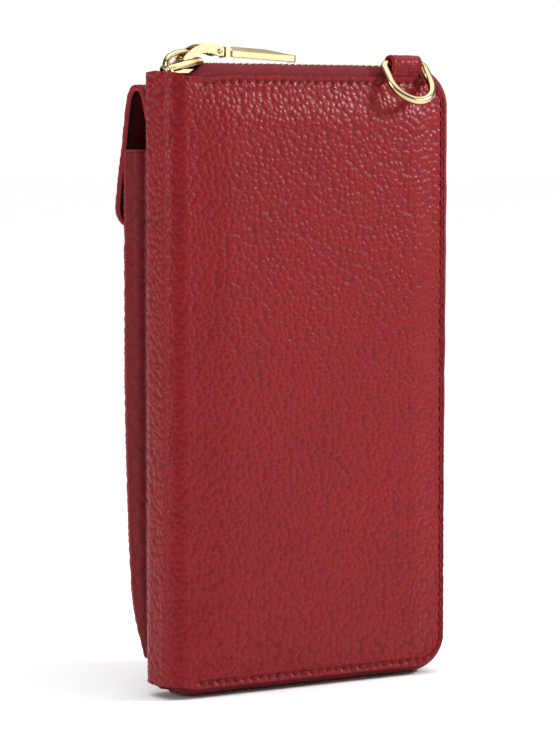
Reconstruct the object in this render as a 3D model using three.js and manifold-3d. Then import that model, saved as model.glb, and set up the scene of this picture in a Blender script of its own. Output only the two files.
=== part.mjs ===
// A zip-around phone wallet case, standing on the lower run of its zip.
// Millimetres. +Z is up, -Y is the plain padded back, +Y the phone pocket and flap,
// -X the folded spine and +X the opening edge.
import * as THREE from "three";
import { mergeVertices } from "three/addons/utils/BufferGeometryUtils.js";
import Module from "manifold-3d";

const wasm = await Module();
wasm.setup();

// Driving dimensions.
const COVER_WIDTH = 105;
const COVER_HEIGHT = 190;
const COVER_CORNER = 9;
const HALF_THICKNESS = 9.6;
const ZIP_RISE = 4.4;
const LEATHER = 1.2;
const BOARD = 0.9;
const LINING = 0.5;
const LAYER_GAP = 0.2;
const GAP = 0.3;
const SPINE_DEPTH = 4.2;
const BOARD_INSET = 2.8;
const PAD_RISE = 1.6;
const PAD_SLOPE = 7;
const PAD_MARGIN = 3;
const PAD_CORNER = 6;
const CARD_LAYER = 0.7;
const CARD_WIDTH = 86;
const CARD_TOPS = [168, 132, 96];
const CARD_MARGIN = 1;
const CARD_FOOT = 6;
const COIN_WALL_GAP = 0.6;
const COIN_WALL = 0.8;
const COIN_FOOT = 8;
const COIN_INSET = 12;
const SPINE_CORNER = 3.9;
const SPINE_LINING_CORNER = 2.2;
const ZIP_START_X = -44;
const TEETH_START_X = -42;
const TEETH_HALF_GAP = 0.5;
const TEETH_INNER = 2.6;
const TEETH_HALF_WIDTH = 2.6;
const STOP_LENGTH = 2;
const STOP_HALF_WIDTH = 2.4;
const SLIDER_START_X = -49.5;
const SLIDER_LENGTH = 12;
const SLIDER_HALF_WIDTH = 4.4;
const SLIDER_TAIL_HALF_WIDTH = 2.6;
const SLIDER_NOSE_HALF_WIDTH = 3.2;
const SLIDER_SHOULDER = 3;
const SLIDER_PLATE = 1.2;
const UNDER_PLATE = { inset: 1, halfWidth: 3.4, low: 1.0, high: 2.2 };
const TONGUE = { start: 1.2, end: 4.4, halfWidth: 0.25, low: 1.6 };
const CROWN = { tail: -49, top: -44.5, nose: -39, rise: 3.2, band: 1.0, foot: 1.2, halfWidth: 1.5 };
const LINK_PIVOT = { x: -42.2, z: 201.3 };
const PULL_PIVOT = { x: -30.3, z: 202.1 };
const CHEEK = { inner: 1.8, outer: 2.8, tailRadius: 0.75, headRadius: 1.9 };
const CROSS_BAR_RADIUS = 0.6;
const PIN_RADIUS = 0.8;
const EYE = { radius: 1.6, bore: 1.05, halfWidth: 1.1 };
const NECK = { start: 1.3, end: 3.0, halfWidth: 1.0, halfHeight: 0.9 };
const COLLAR = { end: 4.2, halfWidth: 1.9, halfHeight: 1.6 };
const PULL_TILT = THREE.MathUtils.degToRad(2.6);
const PULL_BAR_LENGTH = 26.4;
const PULL_BAR = { halfWidth: 2.4, foot: -1.6, eaves: 0.4, ridge: 1.7, hip: 0.6, tip: 0.2 };
const RING_CENTRE_X = 36.4;
const RING_BAR = { y: -8.0, z: 199.0 };
const RING_LEAN = THREE.MathUtils.degToRad(37);
const RING_WIDTH = 15.8;
const RING_DROP = 14.6;
const RING_WIRE = 2.6;
const TAB_WIDTH = 11.6;
const TAB_SKIN = 1.0;
const POCKET_HALF_WIDTH = 47.8;
const POCKET_OUT = 22.5;
const POCKET_TOP = 171;
const POCKET_SKIN = 1.6;
const POCKET_FOOT = 3;
const POCKET_SEAM = { out: 11.6, top: 11.6 };
const FLAP_SKIN = 1.8;
const FLAP_HALF_WIDTH = 47.5;
const STRAP = { low: 174, high: 188.2 };
const FLAP_NECK = { out: 17.1, low: 188.7 };
const MAGNET_HEIGHT = 152;
const SOCKET = { radius: 7, thickness: 1.6 };
const STUD = { radius: 6.5, inner: 25.4, outer: 27.0 };

// Derived places.
const SPINE_X = -COVER_WIDTH / 2;
const EDGE_X = COVER_WIDTH / 2;
const FOLD_X = SPINE_X + SPINE_DEPTH;
const BOTTOM = ZIP_RISE;
const TOP = ZIP_RISE + COVER_HEIGHT;
const BOARD_OUT = HALF_THICKNESS - LEATHER - LAYER_GAP;
const LINING_OUT = BOARD_OUT - BOARD - LAYER_GAP;
const CARDS_OUT = LINING_OUT - LINING - LAYER_GAP;
const FRONT = 1;
const BACK = -1;

const AXIS_X = new THREE.Vector3(1, 0, 0);
const AXIS_Y = new THREE.Vector3(0, 1, 0);
const AXIS_Z = new THREE.Vector3(0, 0, 1);

const FINISHES = {
  leather: { color: 0x9c2a2f, roughness: 0.5, metalness: 0 },
  lining: { color: 0x5e1c22, roughness: 0.85, metalness: 0 },
  board: { color: 0x8b8274, roughness: 0.9, metalness: 0 },
  foam: { color: 0xd8d2c4, roughness: 0.95, metalness: 0 },
  tape: { color: 0x8e2229, roughness: 0.9, metalness: 0 },
  gold: { color: 0xc9a24d, roughness: 0.25, metalness: 1 },
  magnet: { color: 0xb8913f, roughness: 0.35, metalness: 1 },
};

const wallet = new THREE.Group();

function addPiece(name, geometry, finish) {
  const mesh = new THREE.Mesh(geometry, new THREE.MeshStandardMaterial(FINISHES[finish]));
  mesh.name = name;
  wallet.add(mesh);
}

function solidOf(geometry) {
  const bare = geometry.clone();
  bare.deleteAttribute("normal");
  bare.deleteAttribute("uv");
  const merged = mergeVertices(bare, 1e-4);
  const vertProperties = new Float32Array(merged.attributes.position.array);
  const triVerts = new Uint32Array(merged.index.array);
  return new wasm.Manifold(new wasm.Mesh({ numProp: 3, vertProperties, triVerts }));
}

function geometryOf(solid) {
  const mesh = solid.getMesh();
  const geometry = new THREE.BufferGeometry();
  geometry.setAttribute("position", new THREE.BufferAttribute(mesh.vertProperties, 3));
  geometry.setIndex(new THREE.BufferAttribute(mesh.triVerts, 1));
  return geometry;
}

function joined(...geometries) {
  return geometryOf(geometries.map(solidOf).reduce((sum, solid) => sum.add(solid)));
}

function cut(geometry, ...tools) {
  return geometryOf(tools.map(solidOf).reduce((rest, tool) => rest.subtract(tool), solidOf(geometry)));
}

function polygon(points) {
  return new THREE.Shape(points.map(([x, y]) => new THREE.Vector2(x, y)));
}

// A shape drawn in X and Z, filling the layer between two distances along Y.
function layer(shape, yOne, yTwo) {
  const depth = Math.abs(yTwo - yOne);
  const geometry = new THREE.ExtrudeGeometry(shape, { depth, bevelEnabled: false, curveSegments: 5 });
  geometry.applyMatrix4(new THREE.Matrix4().makeBasis(AXIS_X, AXIS_Z, AXIS_Y.clone().negate()));
  return geometry.translate(0, Math.max(yOne, yTwo), 0);
}

// A profile drawn in Y and Z, drawn out along X.
function bar(shape, xOne, xTwo) {
  const options = { depth: xTwo - xOne, bevelEnabled: false, curveSegments: 6 };
  const geometry = new THREE.ExtrudeGeometry(shape, options);
  geometry.applyMatrix4(new THREE.Matrix4().makeBasis(AXIS_Y, AXIS_Z, AXIS_X));
  return geometry.translate(xOne, 0, 0);
}

// A box between two corners.
function block(x0, x1, y0, y1, z0, z1) {
  const geometry = new THREE.BoxGeometry(x1 - x0, y1 - y0, z1 - z0);
  return geometry.translate((x0 + x1) / 2, (y0 + y1) / 2, (z0 + z1) / 2);
}

// A cylinder along Y.
function peg(radius, x, z, yOne, yTwo, sides = 16) {
  const geometry = new THREE.CylinderGeometry(radius, radius, yTwo - yOne, sides);
  return geometry.translate(x, (yOne + yTwo) / 2, z);
}

// The outline of a cover: square at the spine, rounded at the opening edge.
function coverOutline(xStart, inset) {
  const radius = COVER_CORNER - inset;
  const right = EDGE_X - inset;
  const low = BOTTOM + inset;
  const high = TOP - inset;
  const shape = new THREE.Shape();
  shape.moveTo(xStart, low);
  shape.lineTo(right - radius, low);
  shape.absarc(right - radius, low + radius, radius, -Math.PI / 2, 0, false);
  shape.lineTo(right, high - radius);
  shape.absarc(right - radius, high - radius, radius, 0, Math.PI / 2, false);
  shape.lineTo(xStart, high);
  shape.closePath();
  return shape;
}

// The edge of the covers from the top of the spine round the opening edge and back below.
// Each straight takes one step and each corner takes CORNER_STEPS.
const CORNER_STEPS = 6;
const RUN_STEPS = 2 * CORNER_STEPS + 3;

class ZipRun extends THREE.Curve {
  constructor(xStart) {
    super();
    this.xStart = xStart;
  }

  // The place and heading at step s of the run.
  station(s) {
    const r = COVER_CORNER;
    const xc = EDGE_X - r;
    const corner = (k, zc, from) => {
      const angle = from - (k / CORNER_STEPS) * (Math.PI / 2);
      const point = new THREE.Vector3(xc + r * Math.cos(angle), 0, zc + r * Math.sin(angle));
      const heading = new THREE.Vector3(Math.sin(angle), 0, -Math.cos(angle));
      return { point, heading };
    };
    const lowStart = CORNER_STEPS + 2;
    if (s < 1) {
      const point = new THREE.Vector3(THREE.MathUtils.lerp(this.xStart, xc, s), 0, TOP);
      return { point, heading: AXIS_X.clone() };
    }
    if (s <= CORNER_STEPS + 1) {
      return corner(s - 1, TOP - r, Math.PI / 2);
    }
    if (s < lowStart) {
      const z = THREE.MathUtils.lerp(TOP - r, BOTTOM + r, s - CORNER_STEPS - 1);
      return { point: new THREE.Vector3(EDGE_X, 0, z), heading: AXIS_Z.clone().negate() };
    }
    if (s <= lowStart + CORNER_STEPS) {
      return corner(s - lowStart, BOTTOM + r, 0);
    }
    const x = THREE.MathUtils.lerp(xc, this.xStart, s - lowStart - CORNER_STEPS);
    return { point: new THREE.Vector3(x, 0, BOTTOM), heading: AXIS_X.clone().negate() };
  }

  getPoint(t) {
    return this.station(t * RUN_STEPS).point;
  }

  getPointAt(u) {
    return this.getPoint(u);
  }

  getTangentAt(u) {
    return this.station(u * RUN_STEPS).heading;
  }
}

// A section given as distances beyond the cover's edge and off the middle plane, run round the zip.
function zipSweep(section, side, xStart) {
  const shape = polygon(section.map(([out, off]) => [-out, side * off]));
  const extrudePath = new ZipRun(xStart);
  return new THREE.ExtrudeGeometry(shape, { steps: RUN_STEPS, bevelEnabled: false, extrudePath });
}

// The tape is held between skin and lining, then arches out of the seam to the teeth.
const TAPE_SECTION = [
  [-2.5, 8.2],
  [0.0, 8.2],
  [1.3, 7.5],
  [2.5, 6.1],
  [3.4, 4.6],
  [3.9, 2.9],
  [3.0, 2.9],
  [2.6, 4.2],
  [1.8, 5.5],
  [0.8, 6.6],
  [-0.3, 7.3],
  [-2.5, 7.3],
];

function teethSection() {
  return [
    [TEETH_INNER, TEETH_HALF_GAP],
    [TEETH_INNER, TEETH_HALF_WIDTH],
    [ZIP_RISE, TEETH_HALF_WIDTH],
    [ZIP_RISE, TEETH_HALF_GAP],
  ];
}

function sideLayer(side, inset, xStart, outer, thickness) {
  return layer(coverOutline(xStart, inset), side * outer, side * (outer - thickness));
}

// Board, lining, three stepped card pockets, tape, teeth and top stop of one cover.
function addCoverLayers(prefix, side) {
  const layerStart = FOLD_X + BOARD_INSET;
  addPiece(prefix + "_board", sideLayer(side, BOARD_INSET, layerStart, BOARD_OUT, BOARD), "board");
  addPiece(prefix + "_lining", sideLayer(side, BOARD_INSET, layerStart, LINING_OUT, LINING), "lining");
  CARD_TOPS.forEach((height, i) => {
    const outer = CARDS_OUT - i * (CARD_LAYER + LAYER_GAP);
    const inner = outer - CARD_LAYER;
    const y0 = Math.min(side * outer, side * inner);
    const y1 = Math.max(side * outer, side * inner);
    const x0 = layerStart + CARD_MARGIN;
    const panel = block(x0, x0 + CARD_WIDTH, y0, y1, BOTTOM + CARD_FOOT, height);
    addPiece(prefix + "_card_pocket_" + (i + 1), panel, "lining");
  });
  addPiece("zip_tape_" + prefix, zipSweep(TAPE_SECTION, side, ZIP_START_X), "tape");
  addPiece("zip_teeth_" + prefix, zipSweep(teethSection(), side, TEETH_START_X), "gold");
}

// The flat skin of the front cover.
function addFrontCover() {
  addPiece("front_leather", sideLayer(FRONT, 0, FOLD_X + GAP / 2, HALF_THICKNESS, LEATHER), "leather");
  addCoverLayers("front", FRONT);
}

// A rectangle with four round corners.
function roundedRectangle(x0, x1, z0, z1, radius) {
  const shape = new THREE.Shape();
  shape.moveTo(x0 + radius, z0);
  shape.lineTo(x1 - radius, z0);
  shape.absarc(x1 - radius, z0 + radius, radius, -Math.PI / 2, 0, false);
  shape.lineTo(x1, z1 - radius);
  shape.absarc(x1 - radius, z1 - radius, radius, 0, Math.PI / 2, false);
  shape.lineTo(x0 + radius, z1);
  shape.absarc(x0 + radius, z1 - radius, radius, Math.PI / 2, Math.PI, false);
  shape.lineTo(x0, z0 + radius);
  shape.absarc(x0 + radius, z0 + radius, radius, Math.PI, 1.5 * Math.PI, false);
  return shape;
}

// A low pillow over the back cover, sloping up from near the edge to a flat top.
function padPillow(shrink) {
  const inset = PAD_MARGIN + PAD_SLOPE + shrink;
  const outline = roundedRectangle(FOLD_X + inset, EDGE_X - inset, BOTTOM + inset, TOP - inset, PAD_CORNER);
  const options = {
    depth: 1,
    bevelEnabled: true,
    bevelThickness: PAD_RISE,
    bevelSize: PAD_SLOPE,
    bevelSegments: 2,
    curveSegments: 4,
  };
  const geometry = new THREE.ExtrudeGeometry(outline, options);
  geometry.applyMatrix4(new THREE.Matrix4().makeBasis(AXIS_X, AXIS_Z, AXIS_Y.clone().negate()));
  return geometry;
}

// The back skin rises over a foam pad that lies on the board.
function addBackCover() {
  const flat = sideLayer(BACK, 0, FOLD_X + GAP / 2, HALF_THICKNESS, LEATHER);
  const outer = padPillow(0).translate(0, 1 - HALF_THICKNESS, 0);
  const hollow = padPillow(LEATHER).translate(0, 1 - HALF_THICKNESS + LEATHER, 0);
  const inside = block(SPINE_X, EDGE_X, LEATHER - HALF_THICKNESS, 0, 0, TOP + BOTTOM);
  const skin = cut(joined(flat, cut(outer, inside)), hollow);
  addPiece("back_leather", skin, "leather");
  const pad = padPillow(LEATHER + GAP).translate(0, 1 - HALF_THICKNESS + LEATHER + GAP, 0);
  const below = block(SPINE_X, EDGE_X, -BOARD_OUT - LAYER_GAP, 0, 0, TOP + BOTTOM);
  addPiece("back_foam_pad", cut(pad, below), "foam");
  addCoverLayers("back", BACK);
}

// A channel round the spine, from the front fold line to the back one.
function spineChannel(depthOut, halfWidth, thickness, corner) {
  const right = FOLD_X - GAP / 2;
  const left = FOLD_X - depthOut;
  const shape = new THREE.Shape();
  shape.moveTo(right, halfWidth);
  shape.lineTo(left + corner, halfWidth);
  shape.absarc(left + corner, halfWidth - corner, corner, Math.PI / 2, Math.PI, false);
  shape.lineTo(left, corner - halfWidth);
  shape.absarc(left + corner, corner - halfWidth, corner, Math.PI, 1.5 * Math.PI, false);
  shape.lineTo(right, -halfWidth);
  shape.lineTo(right, thickness - halfWidth);
  shape.lineTo(left + corner, thickness - halfWidth);
  shape.absarc(left + corner, corner - halfWidth, corner - thickness, 1.5 * Math.PI, Math.PI, true);
  shape.lineTo(left + thickness, halfWidth - corner);
  shape.absarc(left + corner, halfWidth - corner, corner - thickness, Math.PI, Math.PI / 2, true);
  shape.lineTo(right, halfWidth - thickness);
  shape.closePath();
  const options = { depth: COVER_HEIGHT, bevelEnabled: false, curveSegments: 6 };
  return new THREE.ExtrudeGeometry(shape, options).translate(0, 0, BOTTOM);
}

// The spine with the coin pocket's two walls sewn to its middle.
function addSpine() {
  const liningOut = HALF_THICKNESS - LEATHER - LAYER_GAP;
  const liningDepth = SPINE_DEPTH - LEATHER - LAYER_GAP;
  addPiece("spine_leather", spineChannel(SPINE_DEPTH, HALF_THICKNESS, LEATHER, SPINE_CORNER), "leather");
  addPiece("spine_lining", spineChannel(liningDepth, liningOut, LINING, SPINE_LINING_CORNER), "lining");
  const wallStart = FOLD_X - liningDepth + LINING + GAP;
  const wallEnd = EDGE_X - COIN_INSET;
  const low = BOTTOM + COIN_FOOT;
  const high = TOP - COIN_INSET;
  const near = COIN_WALL_GAP;
  const far = COIN_WALL_GAP + COIN_WALL;
  addPiece("coin_pocket_wall_front", block(wallStart, wallEnd, near, far, low, high), "lining");
  addPiece("coin_pocket_wall_back", block(wallStart, wallEnd, -far, -near, low, high), "lining");
}

// Top stops end the teeth beside the slider, and the retainer box joins the two rows below.
function addZipStops() {
  const low = TOP + TEETH_INNER;
  const high = TOP + ZIP_RISE;
  const half = STOP_HALF_WIDTH;
  const x1 = TEETH_START_X - GAP;
  const x0 = x1 - STOP_LENGTH;
  addPiece("zip_top_stop_front", block(x0, x1, TEETH_HALF_GAP, half, low, high), "gold");
  addPiece("zip_top_stop_back", block(x0, x1, -half, -TEETH_HALF_GAP, low, high), "gold");
  const boxFoot = BOTTOM - ZIP_RISE + GAP;
  const boxEnd = BOTTOM - TEETH_INNER;
  addPiece("zip_retainer_box", block(x0 - STOP_LENGTH, x1, -half, half, boxFoot, boxEnd), "gold");
}

// Two plates above and below the rows, with a thin tongue between the rows.
function addSlider() {
  const x0 = SLIDER_START_X;
  const x1 = SLIDER_START_X + SLIDER_LENGTH;
  const upper = TOP + ZIP_RISE + GAP;
  const shape = polygon([
    [x0, -SLIDER_TAIL_HALF_WIDTH],
    [x0 + SLIDER_SHOULDER, -SLIDER_HALF_WIDTH],
    [x1 - SLIDER_SHOULDER, -SLIDER_HALF_WIDTH],
    [x1, -SLIDER_NOSE_HALF_WIDTH],
    [x1, SLIDER_NOSE_HALF_WIDTH],
    [x1 - SLIDER_SHOULDER, SLIDER_HALF_WIDTH],
    [x0 + SLIDER_SHOULDER, SLIDER_HALF_WIDTH],
    [x0, SLIDER_TAIL_HALF_WIDTH],
  ]);
  const plate = new THREE.ExtrudeGeometry(shape, { depth: SLIDER_PLATE, bevelEnabled: false });
  addPiece("slider_top_plate", plate.translate(0, 0, upper), "gold");
  const { inset, halfWidth, low, high } = UNDER_PLATE;
  const under = block(x0 + inset, x1 - inset, -halfWidth, halfWidth, TOP + low, TOP + high);
  const { start, end, halfWidth: half, low: foot } = TONGUE;
  const tongue = block(x0 + start, x0 + end, -half, half, TOP + foot, upper - GAP / 2);
  addPiece("slider_bottom_plate", joined(under, tongue), "gold");
  addPiece("slider_crown", crown(upper + SLIDER_PLATE), "gold");
}

// The arched band that the pull link loops through: an outer arch less an inner one.
function crown(base) {
  const { tail, top, nose, rise, band, foot, halfWidth } = CROWN;
  const shape = new THREE.Shape();
  shape.moveTo(tail, base);
  shape.quadraticCurveTo(tail + band, base + rise, top, base + rise);
  shape.quadraticCurveTo(nose - band, base + rise, nose, base);
  shape.lineTo(nose - foot, base);
  shape.quadraticCurveTo(nose - foot - band, base + rise - band, top, base + rise - band);
  shape.quadraticCurveTo(tail + foot + band, base + rise - band, tail + foot, base);
  shape.closePath();
  return layer(shape, -halfWidth, halfWidth);
}

// Two cheeks and the round bar under the crown: the link that carries the pull.
// The pin stops short of the cheeks' inner faces, where it is riveted.
function addPullLink() {
  const { x, z } = LINK_PIVOT;
  const eye = PULL_PIVOT;
  const { inner, outer, tailRadius, headRadius } = CHEEK;
  const cheek = new THREE.Shape();
  cheek.moveTo(x, z - tailRadius);
  cheek.lineTo(eye.x, eye.z - headRadius);
  cheek.absarc(eye.x, eye.z, headRadius, -Math.PI / 2, Math.PI / 2, false);
  cheek.lineTo(x, z + tailRadius);
  cheek.absarc(x, z, tailRadius, Math.PI / 2, 1.5 * Math.PI, false);
  cheek.closePath();
  const near = layer(cheek, -outer, -inner);
  const far = layer(cheek, inner, outer);
  const middle = (inner + outer) / 2;
  const crossBar = peg(CROSS_BAR_RADIUS, x, z, -middle, middle);
  addPiece("pull_link", joined(near, far, crossBar), "gold");
  const pinEnd = inner - GAP / 2;
  addPiece("pull_pin", peg(PIN_RADIUS, eye.x, eye.z, -pinEnd, pinEnd), "gold");
}

// An eye on the pin, a square collar and a long bar with a ridged top.
function addPullBar() {
  const { radius, bore } = EYE;
  const ring = peg(radius, 0, 0, -EYE.halfWidth, EYE.halfWidth, 20);
  const bored = cut(ring, peg(bore, 0, 0, -2 * EYE.halfWidth, 2 * EYE.halfWidth, 20));
  const { start, end, halfWidth, halfHeight } = NECK;
  const neck = block(start, end, -halfWidth, halfWidth, -halfHeight, halfHeight);
  addTilted("pull_eye", joined(bored, neck), "gold");
  const wide = COLLAR.halfWidth;
  const tall = COLLAR.halfHeight;
  addTilted("pull_collar", block(end + GAP, COLLAR.end, -wide, wide, -tall, tall), "gold");
  addTilted("pull_bar", ridgedBar(COLLAR.end + GAP), "gold");
}

function addTilted(name, geometry, finish) {
  geometry.rotateY(PULL_TILT);
  geometry.translate(PULL_PIVOT.x, 0, PULL_PIVOT.z);
  addPiece(name, geometry, finish);
}

// A bar whose roof ridge ends short of the tip, where a hip slopes down to it.
function ridgedBar(start) {
  const end = start + PULL_BAR_LENGTH;
  const { halfWidth, foot, eaves, ridge, hip, tip } = PULL_BAR;
  const section = polygon([
    [-halfWidth, foot],
    [halfWidth, foot],
    [halfWidth, eaves],
    [0, ridge],
    [-halfWidth, eaves],
  ]);
  const body = bar(section, start, end);
  const hipStart = start + hip * PULL_BAR_LENGTH;
  const cutter = polygon([
    [hipStart, ridge],
    [end, tip],
    [end + ridge, tip],
    [end + ridge, 2 * ridge],
    [hipStart, 2 * ridge],
  ]);
  return cut(body, layer(cutter, -2 * halfWidth, 2 * halfWidth));
}

// A D-shaped loop of round wire, open by a hair at the middle of its straight bar.
class RingPath extends THREE.CurvePath {
  constructor() {
    super();
    const half = RING_WIDTH / 2;
    const corner = 2;
    const at = (x, z) => new THREE.Vector3(x, 0, z);
    const low = half - RING_DROP;
    const round = 0.5523 * half;
    this.add(new THREE.LineCurve3(at(GAP / 2, 0), at(half - corner, 0)));
    this.add(new THREE.QuadraticBezierCurve3(at(half - corner, 0), at(half, 0), at(half, -corner)));
    this.add(new THREE.LineCurve3(at(half, -corner), at(half, low)));
    this.add(new THREE.CubicBezierCurve3(
      at(half, low), at(half, low - round), at(round, -RING_DROP), at(0, -RING_DROP)));
    this.add(new THREE.CubicBezierCurve3(
      at(0, -RING_DROP), at(-round, -RING_DROP), at(-half, low - round), at(-half, low)));
    this.add(new THREE.LineCurve3(at(-half, low), at(-half, -corner)));
    this.add(new THREE.QuadraticBezierCurve3(at(-half, -corner), at(-half, 0), at(corner - half, 0)));
    this.add(new THREE.LineCurve3(at(corner - half, 0), at(-GAP / 2, 0)));
  }
}

function addRing() {
  const section = new THREE.Shape().absarc(0, 0, RING_WIRE / 2, 0, 2 * Math.PI, false);
  const options = { steps: 48, bevelEnabled: false, curveSegments: 5, extrudePath: new RingPath() };
  const geometry = new THREE.ExtrudeGeometry(section, options);
  geometry.rotateX(-RING_LEAN);
  geometry.translate(RING_CENTRE_X, RING_BAR.y, RING_BAR.z);
  addPiece("d_ring", geometry, "gold");
}

// A folded leather tab: a loop round the ring's bar and a tail sewn down at the cover's edge.
function addRingTab() {
  const { y, z } = RING_BAR;
  const inner = RING_WIRE / 2 + GAP;
  const outer = inner + TAB_SKIN;
  const shape = new THREE.Shape();
  shape.moveTo(y - outer, z);
  shape.absarc(y, z, outer, Math.PI, 0, true);
  shape.lineTo(y + outer, z - 0.2);
  shape.lineTo(y + 0.4, z - inner - 1.4);
  shape.lineTo(y - 0.45, TOP + GAP);
  shape.lineTo(y - 1.5, TOP + GAP);
  shape.closePath();
  shape.holes.push(new THREE.Path().absarc(y, z, inner, 0, 2 * Math.PI, false));
  const x0 = RING_CENTRE_X - TAB_WIDTH / 2;
  addPiece("ring_tab", bar(shape, x0, x0 + TAB_WIDTH), "leather");
}

// The outside of the phone pocket, full depth above and tapering to the cover below.
const POCKET_OUTSIDE = [
  [POCKET_OUT, POCKET_TOP],
  [POCKET_OUT, 94],
  [20.8, 69],
  [17.9, 32],
  [15.0, 19],
  [11.8, 12],
];

function addPhonePocket() {
  const seat = HALF_THICKNESS + GAP;
  const inside = POCKET_OUTSIDE.map(([y, z]) => [y - POCKET_SKIN, z]).reverse();
  const panelSide = POCKET_HALF_WIDTH - LEATHER - GAP;
  addPiece("pocket_panel", bar(polygon([...POCKET_OUTSIDE, ...inside]), -panelSide, panelSide), "leather");
  const wall = polygon([[seat, POCKET_TOP], ...POCKET_OUTSIDE, [seat, 12]]);
  const spineSide = bar(wall, -POCKET_HALF_WIDTH, LEATHER - POCKET_HALF_WIDTH);
  addPiece("pocket_gusset_spine_side", spineSide, "leather");
  addPiece("pocket_gusset_open_side", bar(wall, POCKET_HALF_WIDTH - LEATHER, POCKET_HALF_WIDTH), "leather");
  const foot = block(-panelSide, panelSide, seat, POCKET_SEAM.out, BOTTOM + POCKET_FOOT, POCKET_SEAM.top);
  addPiece("pocket_bottom_seam", foot, "leather");
  const face = POCKET_OUT + GAP;
  addPiece("snap_socket", peg(SOCKET.radius, 0, MAGNET_HEIGHT, face, face + SOCKET.thickness, 24), "magnet");
}

// The hanging part of the flap, bowed away from the pocket.
function flapProfile() {
  const spine = new THREE.CatmullRomCurve3([
    new THREE.Vector3(17.6, 189.6, 0),
    new THREE.Vector3(21.4, 187.0, 0),
    new THREE.Vector3(24.6, 175.0, 0),
    new THREE.Vector3(28.2, 157.0, 0),
    new THREE.Vector3(28.9, 147.0, 0),
  ]);
  const steps = 12;
  const outside = [];
  const inside = [];
  for (let i = 0; i <= steps; i += 1) {
    const point = spine.getPoint(i / steps);
    const heading = spine.getTangent(i / steps);
    const off = new THREE.Vector3(-heading.y, heading.x, 0).multiplyScalar(FLAP_SKIN / 2);
    outside.push([point.x + off.x, point.y + off.y]);
    inside.unshift([point.x - off.x, point.y - off.y]);
  }
  return polygon([...outside, ...inside]);
}

// A strap sewn on the front cover, a neck over the pocket mouth and the hanging panel.
function addFlap() {
  const seat = HALF_THICKNESS + GAP;
  const side = FLAP_HALF_WIDTH;
  const strap = block(-side, side, seat, seat + FLAP_SKIN, STRAP.low, STRAP.high);
  addPiece("flap_strap", strap, "leather");
  const neckTop = FLAP_NECK.low + FLAP_SKIN;
  const neck = block(-side, side, seat + FLAP_SKIN + GAP, FLAP_NECK.out, FLAP_NECK.low, neckTop);
  addPiece("flap_neck", neck, "leather");
  addPiece("flap_panel", bar(flapProfile(), -side, side), "leather");
  addPiece("snap_stud", peg(STUD.radius, 0, MAGNET_HEIGHT, STUD.inner, STUD.outer, 24), "magnet");
}

addFrontCover();
addBackCover();
addSpine();
addZipStops();
addSlider();
addPullLink();
addPullBar();
addRing();
addRingTab();
addPhonePocket();
addFlap();

// The origin is the middle of the overall box, on the surface that the case stands on.
wallet.updateMatrixWorld(true);
const overall = new THREE.Box3().setFromObject(wallet);
const middle = overall.getCenter(new THREE.Vector3());
wallet.position.set(-middle.x, -middle.y, -overall.min.z);

export default wallet;
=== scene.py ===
"""A zip-around phone wallet case in pebbled red leather, dressed around its fixed frame.

Shapes are worked out in millimetres from the case's own middle (x across, y through, z up from
the surface it stands on) and placed in the frame's metres by Datum.
"""

import logging
import math
from dataclasses import dataclass, field
from enum import Enum
from typing import Sequence

import bpy
import numpy as np
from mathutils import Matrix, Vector


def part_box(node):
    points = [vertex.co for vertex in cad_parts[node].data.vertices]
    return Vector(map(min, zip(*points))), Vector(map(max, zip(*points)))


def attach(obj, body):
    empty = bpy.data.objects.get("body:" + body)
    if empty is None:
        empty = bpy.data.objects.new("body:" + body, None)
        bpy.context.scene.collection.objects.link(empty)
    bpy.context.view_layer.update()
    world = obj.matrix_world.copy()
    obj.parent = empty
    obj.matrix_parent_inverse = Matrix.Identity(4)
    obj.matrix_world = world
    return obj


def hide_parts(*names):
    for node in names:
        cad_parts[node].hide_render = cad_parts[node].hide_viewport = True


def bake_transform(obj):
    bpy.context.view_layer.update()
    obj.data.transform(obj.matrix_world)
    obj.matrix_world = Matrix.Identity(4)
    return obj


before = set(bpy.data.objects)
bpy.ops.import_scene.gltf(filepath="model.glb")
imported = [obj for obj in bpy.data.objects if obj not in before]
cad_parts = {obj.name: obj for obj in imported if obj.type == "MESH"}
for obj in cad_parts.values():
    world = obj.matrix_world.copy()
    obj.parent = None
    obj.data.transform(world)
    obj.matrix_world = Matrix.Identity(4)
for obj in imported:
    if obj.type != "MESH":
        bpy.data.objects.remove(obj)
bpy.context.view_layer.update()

LOG = logging.getLogger("wallet")
Array = np.ndarray


# ---------------------------------------------------------------- measures and small helpers


class Side(Enum):
    """The two covers, by the sign of y."""

    FRONT = 1
    BACK = -1


def smoothstep(t: Array) -> Array:
    """Zero below 0, one above 1, and 3t^2 - 2t^3 between them."""
    t = np.clip(t, 0.0, 1.0)
    return t * t * (3.0 - 2.0 * t)


def linear_colour(code: int) -> tuple[float, float, float, float]:
    """An sRGB hex value as linear red, green, blue and full alpha.

    Args:
        code: The colour as 0xRRGGBB.

    Returns:
        Linear red, green and blue with alpha 1.
    """
    parts = [((code >> shift) & 255) / 255 for shift in (16, 8, 0)]
    linear = [p / 12.92 if p <= 0.04045 else ((p + 0.055) / 1.055) ** 2.4 for p in parts]
    return (linear[0], linear[1], linear[2], 1.0)


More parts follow.
